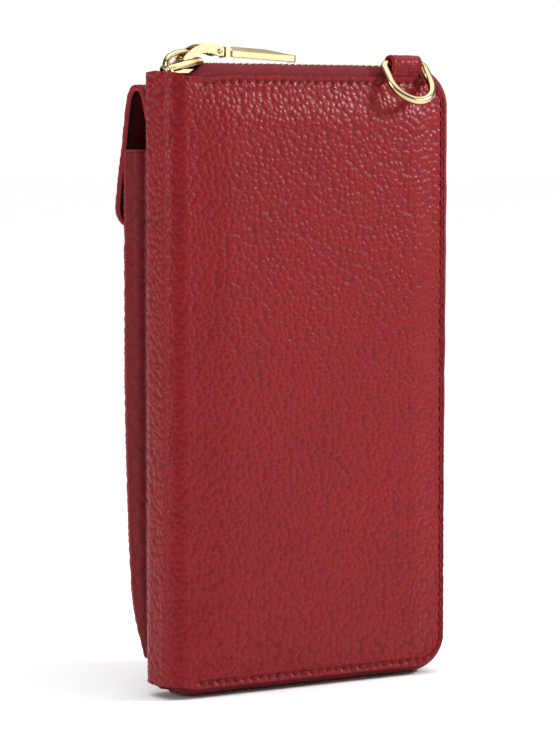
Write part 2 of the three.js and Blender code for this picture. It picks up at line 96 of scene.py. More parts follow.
@dataclass(frozen=True)
class Datum:
    """The case's middle in the frame, and its driving sizes in millimetres, read from the frame."""

    x: float
    y: float
    spine: float
    edge: float
    fold: float
    bottom: float
    top: float
    half: float
    corner: float = 9.0
    rise: float = 4.4

    @classmethod
    def from_frame(cls) -> "Datum":
        """Reads the middle plane from the two rows of teeth and the sizes from the cover skins."""
        low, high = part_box("back_leather")
        spine_low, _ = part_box("spine_leather")
        _, front_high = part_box("front_leather")
        front_teeth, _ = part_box("zip_teeth_front")
        _, back_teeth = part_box("zip_teeth_back")
        mid_x = (spine_low.x + high.x) / 2
        mid_y = (front_teeth.y + back_teeth.y) / 2
        return cls(
            x=mid_x,
            y=mid_y,
            spine=(spine_low.x - mid_x) * 1000,
            edge=(high.x - mid_x) * 1000,
            fold=(low.x - mid_x) * 1000,
            bottom=low.z * 1000,
            top=high.z * 1000,
            half=(front_high.y - mid_y) * 1000,
        )

    def place(self, points: Array) -> Array:
        """Millimetres from the case's middle to metres in the frame."""
        return np.asarray(points, float) / 1000 + np.array([self.x, self.y, 0.0])

    def point(self, x: float, y: float, z: float) -> tuple[float, float, float]:
        """One point in millimetres as a tuple in metres."""
        placed = self.place(np.array([x, y, z]))
        return (float(placed[0]), float(placed[1]), float(placed[2]))

    def node(self, name: str) -> tuple[Array, Array]:
        """The low and high corner of a CAD node in millimetres from the case's middle."""
        low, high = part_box(name)
        shift = np.array([self.x, self.y, 0.0])
        return (np.array(low) - shift) * 1000, (np.array(high) - shift) * 1000

    def edge_distance(self, x: Array, z: Array) -> Array:
        """How far inside a cover's outline a point lies: a rounded rectangle open at the spine."""
        across = x - (self.edge - self.corner)
        middle = (self.top + self.bottom) / 2
        up = np.abs(z - middle) - ((self.top - self.bottom) / 2 - self.corner)
        outside = np.hypot(np.maximum(across, 0), np.maximum(up, 0))
        return self.corner - outside - np.minimum(np.maximum(across, up), 0)


class Grain:
    """Pebbled leather relief: rounded cells parted by creases, the same wherever it is asked."""

    def __init__(self, cell: float, seed: int) -> None:
        """Keeps a seeded table of cell centres.

        Args:
            cell: The mean width of a pebble in millimetres.
            seed: The seed of the table.
        """
        self.cell = cell
        rng = np.random.default_rng(seed)
        self.table = rng.random((128, 128, 3))

    def lattice(self, ix: Array, iy: Array) -> Array:
        """The random values of lattice cells, repeating every 128 cells."""
        return self.table[ix % 128, iy % 128]

    def drift(self, u: Array, v: Array, size: float, channel: int) -> Array:
        """Smooth value noise: table values on a square lattice, blended by smoothstep."""
        gu, gv = u / size, v / size
        iu, iv = np.floor(gu).astype(int), np.floor(gv).astype(int)
        fu, fv = smoothstep(gu - iu), smoothstep(gv - iv)
        a = self.lattice(iu, iv)[..., channel]
        b = self.lattice(iu + 1, iv)[..., channel]
        c = self.lattice(iu, iv + 1)[..., channel]
        d = self.lattice(iu + 1, iv + 1)[..., channel]
        return (a * (1 - fu) + b * fu) * (1 - fv) + (c * (1 - fu) + d * fu) * fv

    def height(self, u: Array, v: Array) -> Array:
        """Relief from 0 in the creases to 1 on the pebbles.

        A pebble is a dome: 1 less 1.3 times the squared distance to the nearest cell centre. It is
        cut down at its border, where the second nearest centre is hardly further than the nearest,
        by a depth that drifts slowly from place to place.

        Args:
            u: First coordinate in millimetres.
            v: Second coordinate in millimetres.

        Returns:
            The relief, shaped as u.
        """
        warp = 0.55 * self.cell
        pu = u + warp * (self.drift(u, v, 2.3 * self.cell, 0) - 0.5)
        pv = v + warp * (self.drift(u, v, 2.3 * self.cell, 1) - 0.5)
        gu, gv = pu / self.cell, pv / self.cell
        iu, iv = np.floor(gu).astype(int), np.floor(gv).astype(int)
        steps = np.array([(a, b) for a in (-1, 0, 1) for b in (-1, 0, 1)])
        cu = iu[..., None] + steps[:, 0]
        cv = iv[..., None] + steps[:, 1]
        seat = self.lattice(cu, cv)
        far = np.hypot(cu + seat[..., 0] - gu[..., None], cv + seat[..., 1] - gv[..., None])
        near = np.partition(far, 1, axis=-1)
        crease = 1 - smoothstep((near[..., 1] - near[..., 0]) / 0.35)
        depth = 0.12 + 0.4 * self.drift(u, v, 1.4 * self.cell, 2)
        return np.clip(1 - 1.3 * near[..., 0] ** 2 - depth * crease, 0, 1)


@dataclass
class Surface:
    """Points in millimetres with faces and a flat coordinate in millimetres for each point."""

    points: Array
    faces: list[Array]
    flat: Array | None = None
    tone: Array | None = None

    def joined(self, *others: "Surface") -> "Surface":
        """This surface and others as one, with their face numbers shifted on."""
        points, faces = [self.points], list(self.faces)
        start = len(self.points)
        for other in others:
            points.append(other.points)
            faces.extend(f + start for f in other.faces)
            start += len(other.points)
        return Surface(np.concatenate(points), faces)


def grid_faces(rows: int, cols: int, wrap_rows: bool = False, wrap_cols: bool = False) -> Array:
    """The quads of a grid of points numbered row by row.

    Args:
        rows: Number of rows of points.
        cols: Number of points in a row.
        wrap_rows: Whether the last row joins the first.
        wrap_cols: Whether the last point of a row joins its first.

    Returns:
        One row of four point numbers for each quad.
    """
    i = np.arange(rows if wrap_rows else rows - 1)[:, None]
    j = np.arange(cols if wrap_cols else cols - 1)[None, :]
    i2, j2 = (i + 1) % rows, (j + 1) % cols
    quads = np.stack([i * cols + j, i2 * cols + j, i2 * cols + j2, i * cols + j2], axis=-1)
    return quads.reshape(-1, 4)


def unit(vectors: Array) -> Array:
    """Vectors scaled to length one."""
    return vectors / np.maximum(np.linalg.norm(vectors, axis=-1, keepdims=True), 1e-12)


def grid_normals(points: Array) -> Array:
    """Normals of a grid of points: the cross product of its two central differences."""
    return unit(np.cross(np.gradient(points, axis=0), np.gradient(points, axis=1)))


@dataclass(frozen=True)
class Rims:
    """Which borders of a sheet are rounded over; the others are cut square, to meet a neighbour."""

    first_row: bool = True
    last_row: bool = True
    first_col: bool = True
    last_col: bool = True


COARSE = 4


def grid_count(length: float, step: float) -> int:
    """The number of grid points over a length whose steps a coarse inner face can share out."""
    return COARSE * math.ceil(length / step / COARSE) + 1


def border(number: Array) -> Array:
    """The numbers round the border of a grid of point numbers, in the order of its faces."""
    return np.concatenate([number[0, :-1], number[:-1, -1], number[-1, :0:-1], number[:0:-1, 0]])


def shell(
    middle: Array,
    thickness: float,
    relief: Array | float = 0.0,
    rims: Rims = Rims(),
    flat: Array | None = None,
    inner_relief: Array | float = 0.0,
    tone: Array | None = None,
    steps: int = 4,
) -> Surface:
    """A sheet with a thickness and rounded rims, as one closed surface.

    The outer face is the middle surface moved half the thickness along its normal and then by
    the relief. The inner face is moved the other way, on a grid with every fourth row and column.
    Each rim is a half circle between them.

    Args:
        middle: The sheet's middle surface, rows by columns by 3, in millimetres.
        thickness: Thickness in millimetres.
        relief: Extra height of the outer face.
        rims: Which borders are rounded.
        flat: Flat coordinates of the grid, rows by columns by 2.
        inner_relief: Extra height of the inner face, away from the outer one.
        tone: A value from 0 to 1 for each point of the outer face, for its finish; low values paint
            the finish's crease colour as shade. The inner face has 0, and so takes that painted
            shade in full, and the rims have 1.
        steps: Number of points between the faces on a rim.

    Returns:
        The closed surface.
    """
    rows, cols = middle.shape[:2]
    normal = grid_normals(middle)
    relief = np.broadcast_to(np.asarray(relief, float), (rows, cols))
    inner_relief = np.broadcast_to(np.asarray(inner_relief, float), (rows, cols))
    outward = np.zeros_like(middle)
    outward[0] += rims.first_row * unit(middle[0] - middle[1])
    outward[-1] += rims.last_row * unit(middle[-1] - middle[-2])
    outward[:, 0] += rims.first_col * unit(middle[:, 0] - middle[:, 1])
    outward[:, -1] += rims.last_col * unit(middle[:, -1] - middle[:, -2])
    outward = unit(outward) * (np.linalg.norm(outward, axis=-1, keepdims=True) > 0.5)
    outer = middle + normal * (thickness / 2 + relief)[..., None]
    inner = middle - normal * (thickness / 2 + inner_relief)[..., None]
    every = slice(None, None, COARSE)
    sparse = inner[every, every]
    count, few = rows * cols, sparse.shape[0] * sparse.shape[1]
    loop = border(np.arange(count).reshape(rows, cols))
    far_loop = count + border(np.arange(few).reshape(sparse.shape[:2]))
    centre = (outer + inner).reshape(-1, 3)[loop] / 2
    arm = (outer - inner).reshape(-1, 3)[loop] / 2
    reach = outward.reshape(-1, 3)[loop] * np.linalg.norm(arm, axis=1, keepdims=True)
    angles = np.linspace(0, np.pi, steps + 2)[1:-1, None, None]
    rim = centre + arm * np.cos(angles) + reach * np.sin(angles)
    arcs = count + few + np.arange(steps * len(loop)).reshape(steps, -1)
    strip = np.concatenate([loop[None], arcs])
    around = np.roll(strip, -1, axis=1)
    side = np.stack([strip[:-1], strip[1:], around[1:], around[:-1]], axis=-1).reshape(-1, 4)
    last = strip[-1].reshape(-1, COARSE)
    fan = np.column_stack([last, np.roll(last[:, 0], -1), np.roll(far_loop, -1), far_loop])[:, ::-1]
    far = grid_faces(*sparse.shape[:2])[:, ::-1] + count
    points = np.concatenate([outer.reshape(-1, 3), sparse.reshape(-1, 3), rim.reshape(-1, 3)])
    surface = Surface(points, [grid_faces(rows, cols), far, side, fan])
    if flat is not None:
        face = flat.reshape(-1, 2)
        sparse_flat = flat[every, every].reshape(-1, 2)
        surface.flat = np.concatenate([face, sparse_flat, np.tile(face[loop], (steps, 1))])
    if tone is not None:
        # Tone 0 on the inner face paints it with the crease shade colour; the rims get 1.
        surface.tone = np.concatenate([tone.ravel(), np.zeros(few), np.ones(steps * len(loop))])
    return surface


def tube(path: Array, section: Array, up: Array, closed: bool = False) -> Surface:
    """A section carried along a path that lies in a plane.

    Args:
        path: Points of the path, n by 3.
        section: Closed section, m by 2, as distances along the plane's normal and across it.
        up: The unit normal of the path's plane.
        closed: Whether the path joins on itself; an open one gets flat ends.

    Returns:
        The closed surface.
    """
    if closed:
        heading = unit(np.roll(path, -1, axis=0) - np.roll(path, 1, axis=0))
    else:
        heading = unit(np.gradient(path, axis=0))
    across = unit(np.cross(heading, up))
    rise, reach = section[None, :, 0, None], section[None, :, 1, None]
    points = path[:, None] + rise * up + reach * across[:, None]
    rows, cols = points.shape[:2]
    faces = [grid_faces(rows, cols, closed, True)]
    if not closed:
        faces += [np.arange(cols)[None, ::-1], (rows - 1) * cols + np.arange(cols)[None]]
    return Surface(points.reshape(-1, 3), faces)


def circle(radius: float, sides: int) -> Array:
    """Points round a circle."""
    angle = np.linspace(0, 2 * np.pi, sides, endpoint=False)
    return radius * np.stack([np.cos(angle), np.sin(angle)], axis=-1)


def turned(profile: Array, sides: int, centre: Sequence[float]) -> Surface:
    """A profile of radius and depth turned round an axis along y, closed on the axis by flat discs.

    Args:
        profile: Points of radius and y, first and last with a small radius.
        sides: Steps round the axis.
        centre: The axis' place, and where y starts.

    Returns:
        The closed surface.
    """
    ring = circle(1.0, sides)
    points = np.stack(
        [
            profile[:, None, 0] * ring[None, :, 0],
            np.broadcast_to(profile[:, None, 1], (len(profile), sides)),
            profile[:, None, 0] * ring[None, :, 1],
        ],
        axis=-1,
    ) + np.asarray(centre, float)
    last = (len(profile) - 1) * sides
    caps = [np.arange(sides)[None], last + np.arange(sides)[None, ::-1]]
    walls = grid_faces(len(profile), sides, False, True)[:, ::-1]
    return Surface(points.reshape(-1, 3), [walls, *caps])


def prism(outline: Array, low: float, high: float, axis: int) -> Surface:
    """A flat outline drawn out between two distances along an axis.

    Args:
        outline: Points of the outline, n by 2, in the other two axes' order.
        low: Where it starts.
        high: Where it ends.
        axis: The axis it runs along.

    Returns:
        The closed surface.
    """
    count = len(outline)
    ends = [np.insert(outline, axis, value, axis=1) for value in (low, high)]
    side = grid_faces(2, count, False, True)
    faces = [side, np.arange(count)[None, ::-1], count + np.arange(count)[None]]
    return Surface(np.concatenate(ends), faces)


# ---------------------------------------------------------------- finishes


def add_node(
    tree: bpy.types.NodeTree, kind: str, links: dict | None = None, **settings: object
) -> bpy.types.Node:
    """Adds one node with its settings and links.

    Args:
        tree: The node tree.
        kind: The node's type name.
        links: Input name or number to a value or to the output socket that feeds it.
        settings: Attributes of the node.

    Returns:
        The node.
    """
    node = tree.nodes.new(kind)
    for name, value in settings.items():
        setattr(node, name, value)
    for key, value in (links or {}).items():
        if isinstance(value, bpy.types.NodeSocket):
            tree.links.new(value, node.inputs[key])
        else:
            node.inputs[key].default_value = value
    return node


def new_material(name: str) -> tuple[bpy.types.Material, bpy.types.NodeTree, bpy.types.Node]:
    """A material with an empty Principled shader, its tree and the shader."""
    material = bpy.data.materials.new(name)
    material.use_nodes = True
    tree = material.node_tree
    shader = next(n for n in tree.nodes if n.type == "BSDF_PRINCIPLED")
    return material, tree, shader


def ramp(
    tree: bpy.types.NodeTree, source: bpy.types.NodeSocket, stops: Sequence[tuple[float, int]]
) -> bpy.types.Node:
    """A colour ramp with sRGB stops, fed by a socket."""
    node = add_node(tree, "ShaderNodeValToRGB", {0: source})
    elements = node.color_ramp.elements
    while len(elements) < len(stops):
        elements.new(0.5)
    for element, (place, code) in zip(elements, stops):
        element.position = place
        element.color = linear_colour(code)
    return node


@dataclass(frozen=True)
class PebbledLeather:
    """Drum-dyed, corrected cowhide embossed with a pebble and finished with a satin topcoat.

    The pebble itself is in the mesh, with its height kept as a tone. Stock with no tone gets its
    pebbles from cells in the finish. A darker crease colour paints shade into the creases and low
    places, and the pebbles' tops are rubbed a little glossier.
    """

    name: str
    light: int
    base: int
    dark: int
    # The colour of painted shade in the creases and wherever the tone is low.
    crease: int
    roughness: float = 0.3
    pore_mm: float = 0.5
    toned: bool = True

    def make(self) -> bpy.types.Material:
        """Builds the material."""
        material, tree, shader = new_material(self.name)
        coordinate = add_node(tree, "ShaderNodeTexCoord")
        place = coordinate.outputs["UV" if self.toned else "Object"]
        clouds = add_node(
            tree,
            "ShaderNodeTexNoise",
            {"Vector": place, "Scale": 28.0, "Detail": 4.0, "Roughness": 0.6},
        )
        stops = [(0.28, self.dark), (0.5, self.base), (0.74, self.light)]
        tone = ramp(tree, clouds.outputs["Fac"], stops)
        fold_look = {"Vector": place, "Scale": 1400.0, "Detail": 3.0}
        wrinkles = add_node(tree, "ShaderNodeTexNoise", fold_look)
        if self.toned:
            height = add_node(tree, "ShaderNodeAttribute", attribute_name="tone").outputs["Fac"]
        else:
            cells = add_node(
                tree,
                "ShaderNodeTexVoronoi",
                {"Vector": place, "Scale": 450.0},
                feature="DISTANCE_TO_EDGE",
            )
            raised = {0: cells.outputs["Distance"], 1: 3.0}
            height = add_node(tree, "ShaderNodeMath", raised, operation="MULTIPLY").outputs[0]
        # Low pebble height mixes in the crease colour: painted shade in the creases.
        depth = add_node(
            tree,
            "ShaderNodeMapRange",
            {"Value": height, "From Min": 0.05, "From Max": 0.55, "To Min": 1.0, "To Max": 0.0},
        )
        crease_shade_mix = add_node(
            tree,
            "ShaderNodeMix",
            {"Factor": depth.outputs["Result"], 6: tone.outputs["Color"], 7: linear_colour(self.crease)},
            data_type="RGBA",
        )
        tree.links.new(crease_shade_mix.outputs[2], shader.inputs["Base Color"])
        gloss = add_node(
            tree,
            "ShaderNodeMapRange",
            {
                "Value": height,
                "From Min": 0.1,
                "From Max": 1.0,
                "To Min": self.roughness + 0.14,
                "To Max": self.roughness - 0.05,
            },
        )
        tree.links.new(gloss.outputs["Result"], shader.inputs["Roughness"])
        pore_look = {"Vector": place, "Scale": 1000.0 / self.pore_mm}
        pores = add_node(tree, "ShaderNodeTexVoronoi", pore_look)
        fine = add_node(
            tree,
            "ShaderNodeBump",
            {"Height": pores.outputs["Distance"], "Strength": 0.3, "Distance": 0.00012},
        )
        rough = add_node(
            tree,
            "ShaderNodeBump",
            {
                "Height": wrinkles.outputs["Fac"],
                "Strength": 0.35,
                "Distance": 0.0001,
                "Normal": fine.outputs["Normal"],
            },
        )
        tree.links.new(rough.outputs["Normal"], shader.inputs["Normal"])
        shader.inputs["IOR"].default_value = 1.5
        shader.inputs["Specular IOR Level"].default_value = 0.16
        return material


@dataclass(frozen=True)
class WovenCloth:
    """Plain or twill woven polyester: fine crossing threads that catch a faint sheen."""

    name: str
    base: int
    dark: int
    thread_mm: float
    diagonal: bool = False
    roughness: float = 0.8
    flat_uv: bool = True

    def make(self) -> bpy.types.Material:
        """Builds the material."""
        material, tree, shader = new_material(self.name)
        coordinate = add_node(tree, "ShaderNodeTexCoord")
        place = coordinate.outputs["UV" if self.flat_uv else "Object"]
        angle = math.radians(45.0) if self.diagonal else 0.0
        turning = {"Vector": place, "Rotation": (0.0, 0.0, angle)}
        turn = add_node(tree, "ShaderNodeMapping", turning)
        scale = math.tau / (2 * self.thread_mm / 1000) / 20.0
        look = {"Vector": turn.outputs[0], "Scale": scale}
        warp = add_node(tree, "ShaderNodeTexWave", look, bands_direction="X")
        weft = add_node(tree, "ShaderNodeTexWave", look, bands_direction="Y")
        crossing = {0: warp.outputs["Fac"], 1: weft.outputs["Fac"]}
        weave = add_node(tree, "ShaderNodeMath", crossing, operation="MULTIPLY")
        tone = ramp(tree, weave.outputs[0], [(0.0, self.dark), (0.7, self.base)])
        tree.links.new(tone.outputs["Color"], shader.inputs["Base Color"])
        relief = {"Height": weave.outputs[0], "Strength": 0.6, "Distance": 0.0002}
        bump = add_node(tree, "ShaderNodeBump", relief)
        tree.links.new(bump.outputs["Normal"], shader.inputs["Normal"])
        shader.inputs["Roughness"].default_value = self.roughness
        shader.inputs["Specular IOR Level"].default_value = 0.2
        shader.inputs["Sheen Weight"].default_value = 0.04
        shader.inputs["Sheen Roughness"].default_value = 0.4
        return material


@dataclass(frozen=True)
class GoldPlate:
    """Gold-tone plated zinc alloy, tumbled and polished: bright, with faint handling marks."""

    name: str
    base: int = 0xD2BD96
    shade: int = 0xC2AA80
    roughness: float = 0.14

    def make(self) -> bpy.types.Material:
        """Builds the material."""
        material, tree, shader = new_material(self.name)
        place = add_node(tree, "ShaderNodeTexCoord").outputs["Object"]
        haze = add_node(tree, "ShaderNodeTexNoise", {"Vector": place, "Scale": 70.0, "Detail": 1.0})
        tone = ramp(tree, haze.outputs["Fac"], [(0.35, self.shade), (0.65, self.base)])
        tree.links.new(tone.outputs["Color"], shader.inputs["Base Color"])
        marks = add_node(
            tree,
            "ShaderNodeMapRange",
            {
                "Value": haze.outputs["Fac"],
                "From Min": 0.3,
                "From Max": 0.7,
                "To Min": self.roughness - 0.03,
                "To Max": self.roughness + 0.04,
            },
        )
        tree.links.new(marks.outputs["Result"], shader.inputs["Roughness"])
        scuff_look = {"Vector": place, "Scale": 500.0, "Detail": 2.0}
        scuffs = add_node(tree, "ShaderNodeTexNoise", scuff_look)
        relief = {"Height": scuffs.outputs["Fac"], "Strength": 0.02, "Distance": 0.00002}
        bump = add_node(tree, "ShaderNodeBump", relief)
        tree.links.new(bump.outputs["Normal"], shader.inputs["Normal"])
        shader.inputs["Metallic"].default_value = 1.0
        return material


@dataclass(frozen=True)
class PlainStock:
    """Hidden stock such as greyboard or foam: fibrous or open-celled, quite matt."""

    name: str
    base: int
    dark: int
    cell_mm: float
    roughness: float = 0.9

    def make(self) -> bpy.types.Material:
        """Builds the material."""
        material, tree, shader = new_material(self.name)
        place = add_node(tree, "ShaderNodeTexCoord").outputs["Object"]
        grit_look = {"Vector": place, "Scale": 1000.0 / self.cell_mm, "Detail": 3.0}
        grit = add_node(tree, "ShaderNodeTexNoise", grit_look)
        tone = ramp(tree, grit.outputs["Fac"], [(0.3, self.dark), (0.7, self.base)])
        tree.links.new(tone.outputs["Color"], shader.inputs["Base Color"])
        relief = {"Height": grit.outputs["Fac"], "Strength": 0.4, "Distance": 0.0002}
        bump = add_node(tree, "ShaderNodeBump", relief)
        tree.links.new(bump.outputs["Normal"], shader.inputs["Normal"])
        shader.inputs["Roughness"].default_value = self.roughness
        return material


class Finishes:
    """Every finish of the case, made once."""

    def __init__(self) -> None:
        """Builds the materials."""
        red = {"light": 0x7E1419, "base": 0x7A1318, "dark": 0x751217, "crease": 0x6A1015}
        # The covers' hide, and the same hide cut without its flat coordinates.
        self.leather = PebbledLeather("pebbled_red_cowhide", **red).make()
        self.offcut = PebbledLeather("pebbled_red_cowhide_offcut", **red, toned=False).make()
        # The pocket's and flap's hide: its much darker crease colour paints shade into the gusset's pleats
        # and under the flap, and it is a little duller.
        pleat_shade_colours = {**red, "crease": 0x4C0A10}
        pleats = PebbledLeather("pebbled_leather_painted_pleat_shade", **pleat_shade_colours, roughness=0.4)
        self.pocket = pleats.make()
        # Bonded nylon thread, herringbone polyester tape and twill lining.
        twill = {"diagonal": True, "flat_uv": False}
        self.thread = WovenCloth("red_bonded_thread", 0x8E1E24, 0x66141A, 0.25, **twill).make()
        tape = WovenCloth("red_herringbone_zip_tape", 0x861722, 0x560D15, 0.42, diagonal=True)
        self.tape = tape.make()
        self.lining = WovenCloth("wine_twill_lining", 0x6B1C24, 0x45101A, 0.35, **twill).make()
        # Pale polished plate on zip, ring and pull, and a yellower satin plate on the snap.
        self.gold = GoldPlate("polished_gold_plate").make()
        self.snap = GoldPlate("satin_gold_plate", 0xD9B56C, 0xB98E48, 0.32).make()
        # Uncoated greyboard and open-cell foam, neither of them in view.
        self.board = PlainStock("grey_board", 0x9A9184, 0x857C6F, 0.6).make()
        self.foam = PlainStock("open_cell_foam", 0xDDD6C8, 0xC2BAA8, 0.8).make()


# ---------------------------------------------------------------- making objects


@dataclass
class Workshop:
    """Turns surfaces into placed, dressed pieces."""

    datum: Datum
    finishes: Finishes

    def piece(
        self,
        name: str,
        surface: Surface,
        material: bpy.types.Material,
        slot: str,
        smooth: bool = True,
    ) -> bpy.types.Object:
        """slot: The record's material slot; not used.
            smooth: Whether its faces are shaded smooth.

        Returns:
            The object, at the origin, with its place in its mesh.
        """
        mesh = bpy.data.meshes.new(name)
        points = self.datum.place(surface.points).astype(np.float32)
        loops = np.concatenate([f.ravel() for f in surface.faces]).astype(np.int32)
        sizes = np.concatenate([np.full(len(f), f.shape[1]) for f in surface.faces])
        starts = np.concatenate([[0], np.cumsum(sizes)[:-1]]).astype(np.int32)
        mesh.vertices.add(len(points))
        mesh.vertices.foreach_set("co", points.ravel())
        mesh.loops.add(len(loops))
        mesh.loops.foreach_set("vertex_index", loops)
        mesh.polygons.add(len(sizes))
        mesh.polygons.foreach_set("loop_start", starts)
        mesh.polygons.foreach_set("use_smooth", np.full(len(sizes), smooth))
        if surface.flat is not None:
            layer = mesh.uv_layers.new(name="Flat")
            layer.data.foreach_set("uv", (surface.flat[loops] / 1000).astype(np.float32).ravel())
        if surface.tone is not None:
            tone = mesh.attributes.new("tone", "FLOAT", "POINT")
            tone.data.foreach_set("value", surface.tone.astype(np.float32))
        mesh.update(calc_edges=True)
        mesh.validate()
        mesh.materials.append(material)
        obj = bpy.data.objects.new(name, mesh)
        bpy.context.scene.collection.objects.link(obj)
        LOG.info("%s: %d faces", name, len(sizes))
        return obj

    def bevelled(self, obj: bpy.types.Object, width: float) -> bpy.types.Object:
        """Rounds an object's sharp edges by a width in millimetres."""
        bevel = obj.modifiers.new("worn_edges", "BEVEL")
        bevel.width = width / 1000
        bevel.segments = 2
        bevel.limit_method = "ANGLE"
        bevel.angle_limit = math.radians(28)
        bevel.harden_normals = False
        return obj


# ---------------------------------------------------------------- covers


@dataclass
class Covers:
    """The one-piece leather cover, wrapped round the spine and split along the spine's middle."""

    shop: Workshop
    thickness: float = 1.2
    bend_back: float = 6.3
    bend_front: float = 6.4
    steps: tuple[float, float] = (0.48, 0.34)
    margin: float = 1.25
    pebble_height: float = 0.27
    pad_rise: float = 1.5
    pad_slope: float = 12.0
    pad_inset: float = 2.4
    seam_start: float = 4.5
    seam_inset: float = 1.7
    seam_pitch: float = 3.2
    grain: Grain = field(default_factory=lambda: Grain(2.0, 7))

    def section(self, s: Array, side: Side) -> tuple[Array, Array]:
        """The cover's outline seen from above, by distance from the spine's middle.

        It runs straight across half the spine, round a quarter circle, then straight to the edge.

        Args:
            s: Distances from the middle of the spine.
            side: Which cover.

        Returns:
            The x and y of the outer face.
        """
        d = self.shop.datum
        r = self.bend_back if side is Side.BACK else self.bend_front
        flat = d.half - r
        turn = np.clip((s - flat) / r, 0, np.pi / 2)
        past = np.maximum(s - flat - r * np.pi / 2, 0)
        x = d.spine + r - r * np.cos(turn) + past
        y = np.minimum(s, flat) + r * np.sin(turn)
        return x, side.value * y

    def reach(self, side: Side) -> float:
        """The distance from the spine's middle to the opening edge along the skin."""
        d = self.shop.datum
        r = self.bend_back if side is Side.BACK else self.bend_front
        return d.half - r + r * math.pi / 2 + (d.edge - d.spine - r)

    def rows(self, inset: float, step: float) -> Array:
        """Heights of the grid's rows: even between the corners, and by equal arcs round them."""
        d = self.shop.datum
        radius = d.corner - inset
        arc = np.linspace(0, np.pi / 2, grid_count(radius * np.pi / 2, step))
        low = d.bottom + inset + radius * (1 - np.cos(arc))
        high = (d.top + d.bottom) - low[::-1]
        between = np.linspace(low[-1], high[0], grid_count(high[0] - low[-1], step))
        return np.concatenate([low, between[1:-1], high])

    def pad(self, x: Array, z: Array) -> Array:
        """The foam's swell under the skin: slopes up from all four sides and bows a little."""
        d = self.shop.datum
        slope = self.pad_slope
        rim = self.pad_inset
        swell = smoothstep((d.edge - rim - x) / slope) * smoothstep((x - d.fold - 0.5) / (1.5 * slope))
        swell = swell * smoothstep((z - d.bottom - rim) / slope) * smoothstep((d.top - rim - z) / slope)
        return self.pad_rise * swell * (0.8 + 0.2 * np.cos((z - 100) / 60) * np.cos((x - 5) / 40))

    def holes(self, x: Array, z: Array) -> Array:
        """How near a point is to a needle hole of the edge seam: 1 in the hole, 0 away from it."""
        run = EdgeRun(self.shop.datum, self.shop.datum.fold + self.seam_start, self.seam_inset)
        s = np.arange(self.seam_pitch, run.length(), self.seam_pitch)
        seats = run.at(s)[0]
        near = self.shop.datum.edge_distance(x, z) < 4.0
        px, pz = x[near], z[near]
        gap = np.full(x.shape, 9.0)
        gap[near] = np.hypot(px[:, None] - seats[:, 0], pz[:, None] - seats[:, 1]).min(axis=1)
        return np.exp(-((gap / 0.55) ** 2))

    def skin(self, side: Side) -> Surface:
        """One half of the cover as a closed sheet with rolled edges.

        The outer face carries the pad's swell, the sunk seam with its needle holes and the pebbles.
        """
        d = self.shop.datum
        half = self.thickness / 2
        step = self.steps[side is Side.BACK]
        z = self.rows(half, step)
        radius = d.corner - half
        straight = (d.top - d.bottom) / 2 - d.corner
        above = np.maximum(np.abs(z - (d.top + d.bottom) / 2) - straight, 0)
        end = self.reach(side) - half - radius + np.sqrt(np.maximum(radius**2 - above**2, 0))
        share = np.linspace(0, 1, grid_count(self.reach(side), step))
        s = share[None] * end[:, None]
        x, y = self.section(s, side)
        ahead, ahead_y = self.section(s + 0.05, side)
        tangent = unit(np.stack([ahead - x, ahead_y - y], axis=-1))
        across = np.stack([-tangent[..., 1], tangent[..., 0]], axis=-1) * side.value
        zz = np.broadcast_to(z[:, None], s.shape)
        inward = half * across
        middle = np.stack([x - inward[..., 0], y - inward[..., 1], zz - self.sag(x, zz)], axis=-1)
        pebbles = self.grain.height(side.value * s, zz)
        inside = d.edge_distance(x, zz)
        sewn = (x > d.fold + 3) * np.exp(-(((inside - self.seam_inset) / 0.6) ** 2))
        holes = self.holes(x, zz)
        swell = self.pad(x, zz) if side is Side.BACK else 0 * x
        embossed = self.pebble_height * (pebbles - 0.5) * (1 - 0.5 * sewn)
        relief = swell + embossed - 0.3 * sewn - 0.3 * holes
        # The tone falls to 0 in the needle holes, so they are painted with the crease colour as shade.
        tone = np.clip(pebbles, 0, 1) * (1 - holes)
        flat = np.stack([side.value * s, zz], axis=-1)
        rims = Rims(first_col=False)
        if side is Side.BACK:
            middle, relief, flat, swell, tone = (a[:, ::-1] for a in (middle, relief, flat, swell, tone))
            rims = Rims(last_col=False)
        return shell(middle, self.thickness, relief, rims, flat, -swell, tone)

    def foam(self) -> Surface:
        """The foam under the back skin: a slab whose outer face follows the pad's swell."""
        d = self.shop.datum
        low, high = d.node("back_foam_pad")
        x = np.linspace(low[0] + 0.5, high[0] - 0.5, grid_count(high[0] - low[0], 2.0))
        z = np.linspace(low[2] + 0.5, high[2] - 0.5, grid_count(high[2] - low[2], 2.0))
        xx, zz = np.meshgrid(x, z)
        middle = np.stack([xx, np.full_like(xx, self.thickness + 0.2 - d.half), zz], axis=-1)
        return shell(middle[:, ::-1], 0.3, np.maximum(self.pad(xx, zz) - 0.3, 0)[:, ::-1])

    def sag(self, x: Array, z: Array) -> Array:
        """How far the soft top edge has sunk: a bell beside the spine, less the spine's own stand.

        The spine, which no zip pulls down, stands a little proud. Both fade downwards. Outside the
        seam the leather has a margin, which reaches a little past the board above and below.
        """
        d = self.shop.datum
        bell = 0.9 * np.exp(-(((x - d.fold - 8.5) / 6.0) ** 2))
        stand = 1.7 * (1 - smoothstep((x - d.spine - 1.5) / 6.5))
        past = smoothstep((z - d.top + 2.6) / 2.6) - smoothstep((d.bottom + 2.6 - z) / 2.6)
        margin = self.margin * past * smoothstep((x - d.fold + 2) / 9)
        return (bell - stand) * smoothstep((z - d.top + 14) / 14) - margin

